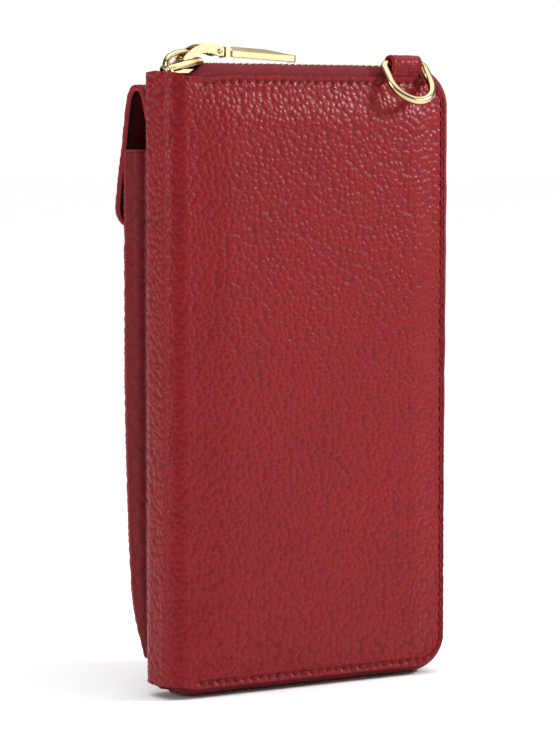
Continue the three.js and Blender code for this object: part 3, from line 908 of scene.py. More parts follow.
    def build(self) -> None:
        """Makes both halves, which meet at the spine's middle, and the foam pad."""
        shop = self.shop
        d = shop.datum
        middle = (d.top + d.bottom) / 2
        leather = shop.finishes.leather
        front = shop.piece("cover_skin_front", self.skin(Side.FRONT), leather, "red_leather")
        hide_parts("front_leather")
        d.point(d.spine, 5, middle)
        d.point(d.spine + 8.5, 5, middle)
        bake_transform(front)
        back = shop.piece("cover_skin_back", self.skin(Side.BACK), leather, "red_leather")
        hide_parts("back_leather", "spine_leather")
        foam = shop.piece("foam_pad", self.foam(), shop.finishes.foam, "foam")
        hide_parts("back_foam_pad")
        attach(foam, "back_cover")
        d.point(d.spine, -5, middle)
        d.point(d.spine + 8.5, -5, middle)
        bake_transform(back)
        LOG.info("covers done")


# ---------------------------------------------------------------- stitches


@dataclass(frozen=True)
class Stitch:
    """One stitch: a short, fat length of bonded thread that dives into the leather at both ends."""

    length: float = 2.5
    width: float = 0.62
    slant: float = math.radians(7)

    def template(self) -> tuple[Array, list[Array]]:
        """A bowed capsule along the first axis, with the third axis out of the leather."""
        rings, sides = 9, 8
        t = np.linspace(-1, 1, rings)
        girth = self.width / 2 * np.sqrt(np.clip(1 - t**6, 0.02, 1))
        lift = 0.32 * (1 - t**2) - 0.2 * t**6
        angle = np.linspace(0, 2 * np.pi, sides, endpoint=False)
        x = np.broadcast_to(t[:, None] * self.length / 2, (rings, sides))
        y = girth[:, None] * np.cos(angle)
        z = lift[:, None] + girth[:, None] * np.sin(angle)
        points = np.stack([x, y, z], axis=-1).reshape(-1, 3)
        caps = [np.arange(sides)[None], (rings - 1) * sides + np.arange(sides)[None, ::-1]]
        return points, [grid_faces(rings, sides, False, True)[:, ::-1], *caps]

    def row(self, seats: Array, along: Array, out: Array) -> Surface:
        """A stitch at each seat.

        Args:
            seats: Middles of the stitches, n by 3.
            along: Headings of the seam.
            out: Unit directions out of the leather.

        Returns:
            All the stitches as one surface.
        """
        points, faces = self.template()
        side = np.cross(out, along)
        turn_along = along * math.cos(self.slant) + side * math.sin(self.slant)
        turn_side = side * math.cos(self.slant) - along * math.sin(self.slant)
        basis = np.stack([turn_along, turn_side, out], axis=1)
        placed = seats[:, None] + np.einsum("pk,nkc->npc", points, basis)
        count = len(points)
        shift = (np.arange(len(seats)) * count)[:, None, None]
        return Surface(placed.reshape(-1, 3), [(f[None] + shift).reshape(-1, f.shape[1]) for f in faces])


@dataclass
class EdgeRun:
    """The covers' edge as a run: along the top, down the opening edge and back along the bottom."""

    datum: Datum
    start_x: float
    inset: float = 0.0

    def length(self) -> float:
        """The run's length in millimetres."""
        d = self.datum
        straights = 2 * (d.edge - d.corner - self.start_x) + (d.top - d.bottom - 2 * d.corner)
        return straights + math.pi * (d.corner - self.inset)

    def at(self, s: Array) -> tuple[Array, Array, Array]:
        """Places along the run.

        Three straights and two quarter circles, one after another.

        Args:
            s: Distances from the run's start.

        Returns:
            x and z, the outward direction and the heading, each n by 2.
        """
        d = self.datum
        r = d.corner - self.inset
        quarter = r * math.pi / 2
        run = d.edge - d.corner - self.start_x
        fall = d.top - d.bottom - 2 * d.corner
        one = np.clip(s, None, run)
        turn = np.clip(s - run, 0, quarter) / r
        drop = np.clip(s - run - quarter, 0, fall)
        turn_low = np.clip(s - run - quarter - fall, 0, quarter) / r
        back = np.clip(s - run - 2 * quarter - fall, 0, None)
        angle = np.pi / 2 - turn - turn_low
        low = turn_low > 0
        cx = self.start_x + one - back
        cz = np.where(low, d.bottom + d.corner, d.top - d.corner - drop)
        out = np.stack([np.cos(angle), np.sin(angle)], axis=-1)
        place = np.stack([cx, cz], axis=-1) + r * out
        heading = np.stack([np.sin(angle), -np.cos(angle)], axis=-1)
        return place, out, heading


@dataclass
class CoverStitching:
    """The lockstitch that holds skin, tape and lining together round each cover."""

    shop: Workshop
    covers: Covers

    def build(self) -> None:
        """Makes one row of stitches on each cover, between the needle holes."""
        d = self.shop.datum
        pitch = self.covers.seam_pitch
        for side, body in ((Side.FRONT, "front_half"), (Side.BACK, "back_cover")):
            run = EdgeRun(d, d.fold + self.covers.seam_start, self.covers.seam_inset)
            s = np.arange(pitch, run.length() - pitch, pitch) + pitch / 2
            place, _, heading = run.at(s)
            zeros = np.zeros(len(s))
            x, z = place[:, 0], place[:, 1]
            y = side.value * (d.half - 0.3 + zeros)
            seats = np.stack([x, y, z - self.covers.sag(x, z)], axis=-1)
            along = np.stack([heading[:, 0], zeros, heading[:, 1]], axis=-1)
            out = np.stack([zeros, zeros + side.value, zeros], axis=-1)
            name = "stitches_" + side.name.lower() + "_cover"
            stitches = Stitch().row(seats, along, out)
            row = self.shop.piece(name, stitches, self.shop.finishes.thread, "red_leather")
            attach(row, body)


# ---------------------------------------------------------------- zip


@dataclass
class Zip:
    """A number 5 metal zip: two tapes that arch out of the seam, and their interlocking teeth."""

    shop: Workshop
    pitch: float = 2.5
    tape_thickness: float = 0.7
    tape_rise: float = 4.1
    tape_buried: float = 2.5
    tape_arch: float = 8.2
    tape_tail: float = 3.2
    settled: tuple[float, float] = (0.35, 1.1)
    tape_start: float = -45.5
    teeth_start: float = -41.5

    def tape_middle(self, t: Array) -> tuple[Array, Array]:
        """The tape's section: out of the seam, over a quarter arch, to the teeth.

        Args:
            t: 0 at the buried edge, 1 at the teeth.

        Returns:
            Distance beyond the cover's edge and distance from the middle plane.
        """
        buried = self.tape_buried
        s = t * (buried + self.tape_arch)
        arch = np.clip(s - buried, 0, None) / self.tape_arch
        out = np.minimum(s - buried, 0) + self.tape_rise * np.sin(arch * np.pi / 2) ** 0.9
        off = 7.75 - 5.0 * (1 - np.cos(arch * np.pi / 2)) ** 0.85
        return out, off

    def settle(self, s: Array, run: EdgeRun) -> Array:
        """How far the chain has sunk towards the covers: a little on top, more where it stands."""
        top, low = self.settled
        return top + (low - top) * smoothstep((s / run.length() - 0.3) / 0.35)

    def tape(self, side: Side) -> Surface:
        """One tape as a closed woven band, flat coordinates along and across it.

        It starts short of the slider's throat, and below it runs on to the spine, rising to it.
        """
        d = self.shop.datum
        run = EdgeRun(d, self.tape_start)
        total = run.length() + self.tape_tail
        s = np.linspace(0, total, grid_count(total, 1.2))
        t = np.linspace(0, 1, 17)
        place, outward, _ = run.at(s)
        out, off = self.tape_middle(t)
        dip = 4.2 * (1 - smoothstep(s / 10.0)) + 1.8 * (1 - smoothstep((total - s) / 7.0))
        dip = dip + self.settle(s, run)
        ripple = 0.12 * np.sin(s / 3.1) * np.sin(s / 17.0)
        lift = out[None] - (dip + ripple)[:, None] * smoothstep((out[None] + 0.5) / 3)
        xz = place[:, None] + outward[:, None] * lift[..., None]
        y = side.value * np.broadcast_to(off[None], lift.shape)
        middle = np.stack([xz[..., 0], y, xz[..., 1]], axis=-1)
        width = self.tape_buried + self.tape_arch
        flat = np.stack(np.broadcast_arrays(s[:, None], (t * width)[None]), axis=-1)
        if side is Side.FRONT:
            middle, flat = middle[:, ::-1], flat[:, ::-1]
        return shell(middle, self.tape_thickness, 0.0, Rims(), flat)

    def tooth(self) -> tuple[Array, list[Array]]:
        """One tooth: a rounded bar across the chain with a domed crown and a clasp round the bead.

        It is a stack of rounded rectangles, wide at the clasp and narrow at the head.
        """
        depth = np.array([3.25, 3.1, 2.5, 1.7, 1.0, 0.3, -0.35, -0.75, -0.85])
        half_wide = np.array([0.25, 0.6, 0.66, 0.62, 0.56, 0.52, 0.5, 0.4, 0.15])
        half_high = np.array([0.3, 0.85, 0.95, 0.9, 0.78, 0.72, 0.7, 0.55, 0.2])
        sides, power = 12, 0.55
        angle = np.linspace(0, 2 * np.pi, sides, endpoint=False) + np.pi / sides
        ca = np.sign(np.cos(angle)) * np.abs(np.cos(angle)) ** power
        sa = np.sign(np.sin(angle)) * np.abs(np.sin(angle)) ** power
        x = half_wide[:, None] * ca
        z = half_high[:, None] * sa
        y = np.broadcast_to(depth[:, None], x.shape)
        points = np.stack([x, y, z], axis=-1).reshape(-1, 3)
        last = (len(depth) - 1) * sides
        caps = [np.arange(sides)[None], last + np.arange(sides)[None, ::-1]]
        return points, [grid_faces(len(depth), sides, False, True)[:, ::-1], *caps]

    def teeth(self, side: Side) -> Surface:
        """A row of teeth round the run, each turned to face outwards."""
        d = self.shop.datum
        run = EdgeRun(d, self.teeth_start)
        shift = 0.0 if side is Side.FRONT else self.pitch / 2
        s = np.arange(1.0 + shift, run.length() - 1.0, self.pitch)
        place, outward, heading = run.at(s)
        middle = place + outward * (d.rise - 0.6 - self.settle(s, run))[:, None]
        zeros = np.zeros(len(s))
        along = np.stack([heading[:, 0], zeros, heading[:, 1]], axis=-1)
        up = np.stack([outward[:, 0], zeros, outward[:, 1]], axis=-1)
        across = np.stack([zeros, zeros + side.value, zeros], axis=-1)
        points, faces = self.tooth()
        basis = np.stack([along, across, up], axis=1)
        seats = np.stack([middle[:, 0], zeros, middle[:, 1]], axis=-1)
        placed = seats[:, None] + np.einsum("pk,nkc->npc", points, basis)
        count = (np.arange(len(s)) * len(points))[:, None, None]
        turned_round = side is Side.BACK
        shapes = [f if turned_round else f[:, ::-1] for f in faces]
        quads = [(f[None] + count).reshape(-1, f.shape[1]) for f in shapes]
        return Surface(placed.reshape(-1, 3), quads)

    def end_patch(self) -> Surface:
        """The folded end of the tape over the retainer: a rounded block between the two tapes."""
        low, high = self.shop.datum.node("zip_retainer_box")
        angle = np.radians(np.linspace(0, 90, 7))
        round_end = 1.2 * np.stack([1 - np.cos(angle), 1 - np.sin(angle)], axis=-1)
        foot = low[2] + 2.2
        near = np.array([low[0], foot]) + round_end
        far = np.array([high[0], foot]) + round_end[::-1] * np.array([-1, 1])
        outline = np.concatenate([near, far, [[high[0], high[2]], [low[0], high[2]]]])
        return prism(outline, low[1] + 0.3, high[1] - 0.3, 1)

    def build(self) -> None:
        """Makes tapes, teeth and the patch over the zip's end."""
        shop = self.shop
        patch = shop.piece("zip_end_patch", self.end_patch(), shop.finishes.offcut, "red_leather")
        shop.bevelled(patch, 0.25)
        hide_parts("zip_retainer_box")
        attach(patch, "front_half")
        for side, body in ((Side.FRONT, "front_half"), (Side.BACK, "back_cover")):
            label = side.name.lower()
            tape = shop.piece("woven_tape_" + label, self.tape(side), shop.finishes.tape, "zip_tape")
            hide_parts("zip_tape_" + label)
            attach(tape, body)
            teeth = shop.piece("metal_teeth_" + label, self.teeth(side), shop.finishes.gold, "gold_metal")
            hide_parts("zip_teeth_" + label)
            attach(teeth, body)


# ---------------------------------------------------------------- slider and pull


@dataclass
class SliderAndPull:
    """The cast slider with its crown, the link that hangs in it and the faceted pull bar."""

    shop: Workshop
    dip: float = math.radians(14)
    tilt: float = math.radians(3.2)
    link_start: tuple[float, float] = (-42.4, 199.7)
    link_shoulder: tuple[float, float] = (-37.0, 204.9)
    link_eye: tuple[float, float] = (-30.3, 202.5)
    nose: tuple[float, float] = (-38.0, 199.9)
    pull_length: float = 24.4

    def dipped(self, points: Array) -> Array:
        """Turns points about the slider's nose, so that its tail dips towards the spine."""
        c, s = math.cos(self.dip), math.sin(self.dip)
        pivot = np.array([self.nose[0], 0.0, self.nose[1]])
        turn = np.array([[c, 0, s], [0, 1, 0], [-s, 0, c]])
        return (points - pivot) @ turn + pivot

    def shield(self, height: float, thickness: float, droop: float) -> Surface:
        """A plate of the slider: its plan swells to the shoulders, and its sides are turned down."""
        low, high = self.shop.datum.node("slider_top_plate")
        u = np.linspace(0, 1, 25)[:, None]
        v = np.linspace(-1, 1, 25)[None]
        plan = 2.6 + 2.1 * smoothstep(u / 0.3) - 1.2 * smoothstep((u - 0.6) / 0.4)
        x = low[0] + 0.3 + (high[0] - low[0] - 0.3) * u + 0 * v
        z = height - droop * np.abs(v) ** 6 + 0.3 * np.sin(np.pi * u)
        middle = np.stack(np.broadcast_arrays(x, plan * v, z), axis=-1)
        surface = shell(middle, thickness)
        surface.points = self.dipped(surface.points)
        return surface

    def crown(self) -> Surface:
        """A stout half-round strap that arches from the slider's tail to its nose."""
        t = np.linspace(0, np.pi, 33)
        across = np.cos(t)
        x = -43.6 - 5.2 * np.sign(across) * np.abs(across) ** 0.85
        z = 198.6 + 4.6 * np.sin(t) ** 0.72
        path = self.dipped(np.stack([x, 0 * x, z], axis=-1))
        angle = np.linspace(0, 2 * np.pi, 20, endpoint=False)
        section = np.stack([1.45 * np.cos(angle), 0.85 * np.sin(angle)], axis=-1)
        return tube(path, section, np.array([0.0, 1.0, 0.0]))

    def cheek(self, y0: float, y1: float) -> Surface:
        """One cheek of the link: an arched band from the crown to a round eye over the pin.

        Its middle line is a parabola through start, shoulder and eye, and it widens along it.
        """
        start, eye = np.array(self.link_start), np.array(self.link_eye)
        t = np.linspace(0, 1, 17)[:, None]
        line = (1 - t) ** 2 * start + 2 * t * (1 - t) * np.array(self.link_shoulder) + t**2 * eye
        heading = unit(np.gradient(line, axis=0))
        left = np.stack([-heading[:, 1], heading[:, 0]], axis=-1)
        half = 0.85 + 0.6 * t
        turn = np.radians(np.linspace(80, -80, 9))[:, None]
        head = line[-1] + half[-1] * (heading[-1] * np.cos(turn) + left[-1] * np.sin(turn))
        tail = line[0] - half[0] * (heading[0] * np.cos(turn) + left[0] * np.sin(turn))
        outline = np.concatenate([line + left * half, head, (line - left * half)[::-1], tail])
        return prism(outline[::-1], y0, y1, 1)

    def pull(self) -> Surface:
        """The bar: a roofed section along its length, whose ridge runs down from a hip to the tip."""
        low, high = self.shop.datum.node("pull_bar")
        length = self.pull_length
        along = np.array([0.0, 0.5, 0.58 * length, length - 0.5, length])
        ridge = np.array([1.1, 1.35, 1.35, 0.35, 0.2])
        shrink = np.array([0.9, 1.0, 1.0, 1.0, 0.92])
        section_y = np.array([-2.4, 2.4, 2.4, 0.0, -2.4])
        section_z = np.array([-1.05, -1.05, 1.0, 1.0, 1.0])
        y = shrink[:, None] * section_y
        z = shrink[:, None] * section_z + ridge[:, None] * np.array([0, 0, 0, 1, 0])
        x = np.broadcast_to(along[:, None], y.shape)
        points = np.stack([x, y, z], axis=-1).reshape(-1, 3)
        c, s = math.cos(self.tilt), math.sin(self.tilt)
        turn = np.array([[c, 0, -s], [0, 1, 0], [s, 0, c]])
        points = points @ turn + np.array([low[0] + 0.05, 0.0, self.link_eye[1] - 0.8])
        caps = [np.arange(5)[None, ::-1], 20 + np.arange(5)[None]]
        return Surface(points, [grid_faces(5, 5, False, True), *caps])

    def pin(self) -> Surface:
        """The pin that joins link and bar: a rod with a low domed head at each end."""
        low, high = self.shop.datum.node("pull_link")
        wide = (high[1] - low[1]) / 2
        head = np.array([[0.2, -0.5], [0.7, -0.4], [1.0, -0.1], [1.0, 0.0], [0.75, 0.1]])
        profile = head - np.array([0.0, wide])
        mirrored = profile[::-1] * np.array([1, -1])
        centre = (self.link_eye[0], 0, self.link_eye[1])
        return turned(np.concatenate([profile, mirrored]), 20, centre)

    def knuckle(self) -> Surface:
        """The pull's eye and collar in one: a barrel round the pin, then a stepped neck to the bar."""
        eye = self.link_eye
        barrel = prism(self.disc(eye, 1.5), -1.55, 1.55, 1)
        neck = self.box((eye[0] + 0.6, eye[0] + 3.4), (-1.5, 1.5), (eye[1] - 1.35, eye[1] + 0.75))
        collar = self.box((eye[0] + 2.9, eye[0] + 4.3), (-2.1, 2.1), (eye[1] - 1.95, eye[1] + 1.3))
        return barrel.joined(neck, collar)

    def disc(self, centre: tuple[float, float], radius: float) -> Array:
        """A circle's outline about a place."""
        return np.array(centre) + circle(radius, 24)

    def box(self, x: tuple[float, float], y: tuple[float, float], z: tuple[float, float]) -> Surface:
        """A block between three pairs of limits."""
        outline = np.array([[x[0], z[0]], [x[1], z[0]], [x[1], z[1]], [x[0], z[1]]])
        return prism(outline, y[0], y[1], 1)

    def build(self) -> None:
        """Makes the slider, link and bar, each on its own body."""
        shop, gold = self.shop, self.shop.finishes.gold
        plates = self.shield(199.95, 0.9, 1.5)
        upper = shop.piece("slider_shield", plates, gold, "gold_metal")
        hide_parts("slider_top_plate")
        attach(upper, "slider")
        arch = shop.piece("crown_arch", self.crown(), gold, "gold_metal")
        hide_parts("slider_crown")
        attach(arch, "slider")
        low, high = shop.datum.node("pull_link")
        near = self.cheek(low[1], low[1] + 0.9)
        far = self.cheek(high[1] - 0.9, high[1])
        rod_line = np.array([[0.55, low[1] + 0.2], [0.55, high[1] - 0.2]])
        rod = turned(rod_line, 16, (self.link_start[0], 0, self.link_start[1]))
        cheeks = near.joined(far, rod)
        link = shop.bevelled(shop.piece("link_cheeks", cheeks, gold, "gold_metal", smooth=False), 0.2)
        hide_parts("pull_link")
        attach(link, "pull_link")
        pin = shop.bevelled(shop.piece("link_pin", self.pin(), gold, "gold_metal", smooth=False), 0.08)
        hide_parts("pull_pin")
        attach(pin, "pull_link")
        eye = shop.piece("pull_knuckle", self.knuckle(), gold, "gold_metal", smooth=False)
        knuckle = shop.bevelled(eye, 0.15)
        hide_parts("pull_eye", "pull_collar")
        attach(knuckle, "pull_bar")
        bar = shop.bevelled(shop.piece("faceted_pull", self.pull(), gold, "gold_metal", smooth=False), 0.14)
        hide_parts("pull_bar")
        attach(bar, "pull_bar")
        dress_node("slider_bottom_plate", gold)


def dress_node(node: str, material: bpy.types.Material) -> None:
    """Gives a CAD node that stays its finish."""
    obj = bpy.data.objects[node]
    obj.data.materials.clear()
    obj.data.materials.append(material)


# ---------------------------------------------------------------- ring and tab


@dataclass
class RingAndTab:
    """A D-ring of round wire in a folded leather tab."""

    shop: Workshop
    width: float = 15.8
    drop: float = 14.6
    wire: float = 2.6
    lean: float = math.radians(37)
    play: float = 0.35
    leather: float = 1.1
    tab_width: float = 11.6
    bar_y: float = -8.0
    bar_z: float = 199.0

    def centre_x(self) -> float:
        """The ring's middle, from its tab."""
        low, high = self.shop.datum.node("ring_tab")
        return float((low[0] + high[0]) / 2)

    def ring(self) -> Surface:
        """Round wire carried round a D: a bar with tight corners, two sides and a half circle."""
        half, corner = self.width / 2, 2.0
        bar = np.stack([np.linspace(corner - half, half - corner, 12), np.zeros(12)], axis=-1)
        angle = np.radians(np.linspace(90, 0, 9))
        quarter = corner * np.stack([np.cos(angle), np.sin(angle)], axis=-1)
        first = np.array([half - corner, -corner]) + quarter
        round_angle = np.radians(np.linspace(0, -180, 49))
        centre_z = half - self.drop
        bow = np.stack([half * np.cos(round_angle), centre_z + half * np.sin(round_angle)], axis=-1)
        second = first[::-1] * np.array([-1, 1])
        flat = np.concatenate([bar[:-1], first[:-1], bow[:-1], second[:-1]])
        local = np.stack([flat[:, 0], np.zeros(len(flat)), flat[:, 1]], axis=-1)
        surface = tube(local, circle(self.wire / 2, 20), np.array([0.0, 1.0, 0.0]), closed=True)
        c, s = math.cos(self.lean), math.sin(self.lean)
        turn = np.array([[1, 0, 0], [0, c, s], [0, -s, c]])
        seat = np.array([self.centre_x(), self.bar_y, self.bar_z])
        surface.points = surface.points @ turn.T + seat
        return surface

    def tab(self) -> Surface:
        """A strap folded over the ring's bar: up from the seam, round a loop and down again."""
        half_leather = self.leather / 2
        inner = self.wire / 2 + self.play + half_leather
        t = np.radians(np.linspace(205, -25, 43))
        loop = np.array([self.bar_y, self.bar_z]) + inner * np.stack([np.cos(t), np.sin(t)], axis=-1)
        top = self.shop.datum.top
        knee = [-8.5, top + 0.9]
        rising = np.linspace([-8.3, top - 1.0], knee, 5)[:-1]
        tail_out = np.concatenate([rising, np.linspace(knee, loop[0], 6)[:-1]])
        tail_in = np.linspace(loop[-1], [-8.0, top + 0.4], 10)[1:]
        path = np.concatenate([tail_out, loop, tail_in])
        half = self.tab_width / 2 - half_leather
        x = self.centre_x() + np.linspace(-half, half, grid_count(2 * half, 0.3))
        middle = np.stack(
            np.broadcast_arrays(x[None], path[:, 0][:, None], path[:, 1][:, None]), axis=-1
        )
        length = np.concatenate([[0], np.cumsum(np.hypot(*np.diff(path, axis=0).T))])
        flat = np.stack(np.broadcast_arrays(x[None], length[:, None]), axis=-1)
        pebbles = Grain(2.0, 11).height(flat[..., 0] + 50, flat[..., 1])[::-1]
        return shell(middle[::-1], self.leather, 0.2 * pebbles, Rims(), flat[::-1], tone=pebbles)

    def build(self) -> None:
        """Makes the ring and its tab."""
        shop = self.shop
        ring = shop.piece("wire_d_ring", self.ring(), shop.finishes.gold, "gold_metal")
        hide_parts("d_ring")
        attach(ring, "d_ring")
        tab = shop.piece("folded_ring_tab", self.tab(), shop.finishes.leather, "red_leather")
        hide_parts("ring_tab")
        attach(tab, "back_cover")


# ---------------------------------------------------------------- phone pocket and flap


@dataclass
class PhonePocket:
    """The outside pocket: a panel and two gussets in one wrapped skin, tapering to the seam below."""

    shop: Workshop
    step: float = 0.7
    wall: float = 12.6
    spread: float = 1.5
    foot: float = 12.0
    profile: tuple[tuple[float, float], ...] = (
        (11, 1.2),
        (19, 6.0),
        (31, 9.3),
        (50, 10.8),
        (72, 11.8),
        (96, 12.6),
    )

    def depth(self, z: Array) -> Array:
        """How far the pocket stands off the cover at a height: its profile, averaged smooth."""
        heights, depths = np.array(self.profile).T
        window = np.linspace(-6, 6, 13)
        return np.interp(z[:, None] + window, heights, depths).mean(axis=1)

    def skin(self) -> Surface:
        """The pocket as a sheet: out from the cover, round a corner, across and back."""
        d = self.shop.datum
        low, high = d.node("pocket_gusset_spine_side")
        left, right = low[0] + 0.7 - self.spread, d.node("pocket_gusset_open_side")[1][0] - 0.7
        seat, top = d.half + 0.5, high[2]
        z = np.linspace(self.foot, top, grid_count(top - self.foot, self.step))
        span = right - left
        total = span + 2 * self.wall
        s = np.linspace(0, total, grid_count(total, self.step))
        out = np.clip(np.minimum(s, total - s) / self.wall, 0, 1)
        side = np.where(s < total / 2, -1.0, 1.0)
        depth = self.depth(z)[:, None]
        crease = 5.0 * np.exp(-(((out - 0.36) / 0.17) ** 2)) * smoothstep(out / 0.2) * (out < 1)
        seam = 0.9 * smoothstep((out - 0.8) / 0.2) * (out < 1)
        xx = left + np.clip(s - self.wall, 0, span) + side * (seam - crease) * depth / self.wall
        yy = seat + out * (depth - 0.5)
        zz = np.broadcast_to(z[:, None], xx.shape)
        middle = np.stack([xx, yy, zz], axis=-1)
        flat = np.stack(np.broadcast_arrays(s[None], z[:, None]), axis=-1)
        pebbles = Grain(2.0, 7).height(flat[..., 0] + 200, flat[..., 1])
        # The gussets take a low tone, which paints the dark crease colour over them as shade in the pleats;
        # the panel stays near its base colour.
        tone = np.where(out < 0.97, 0.1 + 0.25 * pebbles, 0.5 + 0.5 * pebbles)
        return shell(middle, 1.3, 0.26 * pebbles, Rims(), flat, tone=tone)

    def build(self) -> None:
        """Makes the pocket and its snap."""
        shop = self.shop
        skin = shop.piece("pocket_skin", self.skin(), shop.finishes.pocket, "red_leather")
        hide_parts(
            "pocket_panel",
            "pocket_gusset_spine_side",
            "pocket_gusset_open_side",
            "pocket_bottom_seam",
        )
        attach(skin, "front_half")
        socket = [[0.2, 1.6], [5.8, 1.6], [6.7, 1.25], [7.0, 0.7], [7.0, 0.0], [0.2, 0.0]]
        stud = [[0.2, 1.6], [6.5, 1.6], [6.5, 0.9], [6.0, 0.4], [4.0, 0.3], [0.2, 0.0]]
        self.snap("snap_socket", "front_half", np.array(socket))
        self.snap("snap_stud", "flap_panel", np.array(stud))

    def snap(self, node: str, body: str, profile: Array) -> None:
        """One half of the magnetic snap, turned from its profile."""
        shop = self.shop
        low, high = shop.datum.node(node)
        centre = ((low[0] + high[0]) / 2, low[1], (low[2] + high[2]) / 2)
        obj = shop.piece(node + "_cap", turned(profile, 40, centre), shop.finishes.snap, "snap_metal")
        shop.bevelled(obj, 0.15)
        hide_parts(node)
        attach(obj, body)


@dataclass
class Flap:
    """A flap of doubled leather: sewn to the cover, over the pocket's mouth and down its front."""

    shop: Workshop
    thickness: float = 1.9
    step: float = 0.6
    spread: float = 0.9
    corner: float = 7.0

    def path(self) -> Array:
        """The flap seen from the side, as a smooth curve through its turns (y and z)."""
        turns = np.array(
            [
                [10.9, 174.5],
                [11.0, 178.5],
                [12.6, 183.5],
                [14.4, 188.4],
                [16.4, 191.0],
                [20.4, 191.0],
                [22.7, 188.4],
                [24.0, 183.5],
                [25.8, 174.0],
                [28.2, 164.0],
                [30.2, 153.0],
                [30.2, 146.4],
            ]
        )
        knots = np.concatenate([[0], np.cumsum(np.hypot(*np.diff(turns, axis=0).T))])
        fine = np.linspace(0, knots[-1], 600)
        kernel = np.exp(-np.linspace(-2.5, 2.5, 41) ** 2)
        kernel /= kernel.sum()
        smooth = []
        for axis in (0, 1):
            line = np.interp(fine, knots, turns[:, axis])
            padded = np.concatenate([2 * line[0] - line[20:0:-1], line, 2 * line[-1] - line[-2:-22:-1]])
            smooth.append(np.convolve(padded, kernel, mode="valid"))
        curve = np.stack(smooth, axis=-1)
        travel = np.concatenate([[0], np.cumsum(np.hypot(*np.diff(curve, axis=0).T))])
        even = np.linspace(0, travel[-1], grid_count(travel[-1], self.step))
        return np.stack([np.interp(even, travel, curve[:, 0]), np.interp(even, travel, curve[:, 1])], axis=-1)

    def sheet(self, path: Array, start: float, first: bool, last: bool) -> Surface:
        """A length of the flap as a closed sheet.

        Its lower corners are rounded by drawing the rows in along a quarter circle.

        Args:
            path: The side curve's points for this length.
            start: Distance along the whole flap where it starts.
            first: Whether its first border is a rim.
            last: Whether its last border is a rim with round corners.

        Returns:
            The closed surface.
        """
        low, high = self.shop.datum.node("flap_panel")
        half = (high[0] - low[0]) / 2 - self.thickness / 2
        centre = (high[0] + low[0]) / 2 - self.spread
        travel = start + np.concatenate([[0], np.cumsum(np.hypot(*np.diff(path, axis=0).T))])
        radius = self.corner
        inset = np.maximum(radius - (travel[-1] - travel), 0)
        narrow = last * (radius - np.sqrt(np.maximum(radius**2 - inset**2, 0)))
        u = np.linspace(-1, 1, grid_count(2 * half, self.step))
        x = centre + (half - narrow)[:, None] * u[None]
        middle = np.stack(np.broadcast_arrays(x, path[:, 0][:, None], path[:, 1][:, None]), axis=-1)
        flat = np.stack(np.broadcast_arrays(x, travel[:, None]), axis=-1)
        pebbles = Grain(2.2, 7).height(flat[..., 0] + 90, flat[..., 1])
        middle, flat, pebbles = middle[:, ::-1], flat[:, ::-1], pebbles[:, ::-1]
        # The outer face stays near its base colour; the inner face, at tone 0, is painted with the pocket
        # finish's dark crease colour as shade under the flap.
        tone = 0.5 + 0.5 * pebbles
        rims = Rims(first_row=first, last_row=last)
        return shell(middle, self.thickness, 0.26 * pebbles, rims, flat, tone=tone)

    def build(self) -> None:
        """Makes the two lengths, which meet at the middle of the neck."""
        shop, d = self.shop, self.shop.datum
        path = self.path()
        neck_gap = np.abs(path[:, 0] - 14.6) + 10 * (path[:, 1] < 185)
        split = COARSE * round(int(np.argmin(neck_gap)) / COARSE)
        lengths = np.concatenate([[0], np.cumsum(np.hypot(*np.diff(path, axis=0).T))])
        leather = shop.finishes.pocket
        behind = self.sheet(path[: split + 1], 0.0, True, False)
        rear = shop.piece("flap_rear", behind, leather, "red_leather")
        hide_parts("flap_strap", "flap_neck")
        d.point(0, 11, 185.0)
        d.point(0, 12.6, 187.0)
        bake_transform(rear)
        ahead = self.sheet(path[split:], lengths[split], False, True)
        fore = shop.piece("flap_fore", ahead, leather, "red_leather")
        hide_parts("flap_panel")
        d.point(0, 15.4, 189.6)
        d.point(0, 20.8, 187.5)
        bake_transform(fore)


# ---------------------------------------------------------------- inside


@dataclass
class Inside:
    """Card pockets, coin pocket walls, linings, boards and the pad."""

    shop: Workshop

    def panel(self, node: str, body: str, round_top: float = 5.0) -> None:
        """A sewn panel with soft rims in a flat node's place: rows drawn in at the top corners."""
        low, high = self.shop.datum.node(node)
        thickness = high[1] - low[1]
        facing = 1.0 if (low[1] + high[1]) < 0 else -1.0
        inset = thickness / 2
        z = np.linspace(low[2] + inset, high[2] - inset, 61)
        left = z[-1] - z
        narrow = round_top - np.sqrt(np.maximum(round_top**2 - np.maximum(round_top - left, 0) ** 2, 0))
        half = (high[0] - low[0]) / 2 - inset
        u = np.linspace(-1, 1, 41)
        x = (low[0] + high[0]) / 2 + (half - narrow)[:, None] * u[None]
        y = np.full_like(x, (low[1] + high[1]) / 2)
        middle = np.stack([x, y, np.broadcast_to(z[:, None], x.shape)], axis=-1)
        order = slice(None, None, int(facing) * -1)
        flat = np.stack(np.broadcast_arrays(x, z[:, None]), axis=-1)
        surface = shell(middle[:, order], thickness, 0.0, Rims(), flat[:, order], tone=np.full(x.shape, 0.8))
        obj = self.shop.piece(node + "_panel", surface, self.shop.finishes.leather, "lining")
        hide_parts(node)
        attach(obj, body)

    def build(self) -> None:
        """Makes the panels and dresses what stays of the frame."""
        for side, body in (("front", "front_half"), ("back", "back_cover")):
            for number in (1, 2, 3):
                self.panel(f"{side}_card_pocket_{number}", body)
            self.panel(f"coin_pocket_wall_{side}", "spine")
            dress_node(side + "_lining", self.shop.finishes.lining)
            dress_node(side + "_board", self.shop.finishes.board)
            dress_node("zip_top_stop_" + side, self.shop.finishes.gold)
        dress_node("spine_lining", self.shop.finishes.lining)


# ---------------------------------------------------------------- studio


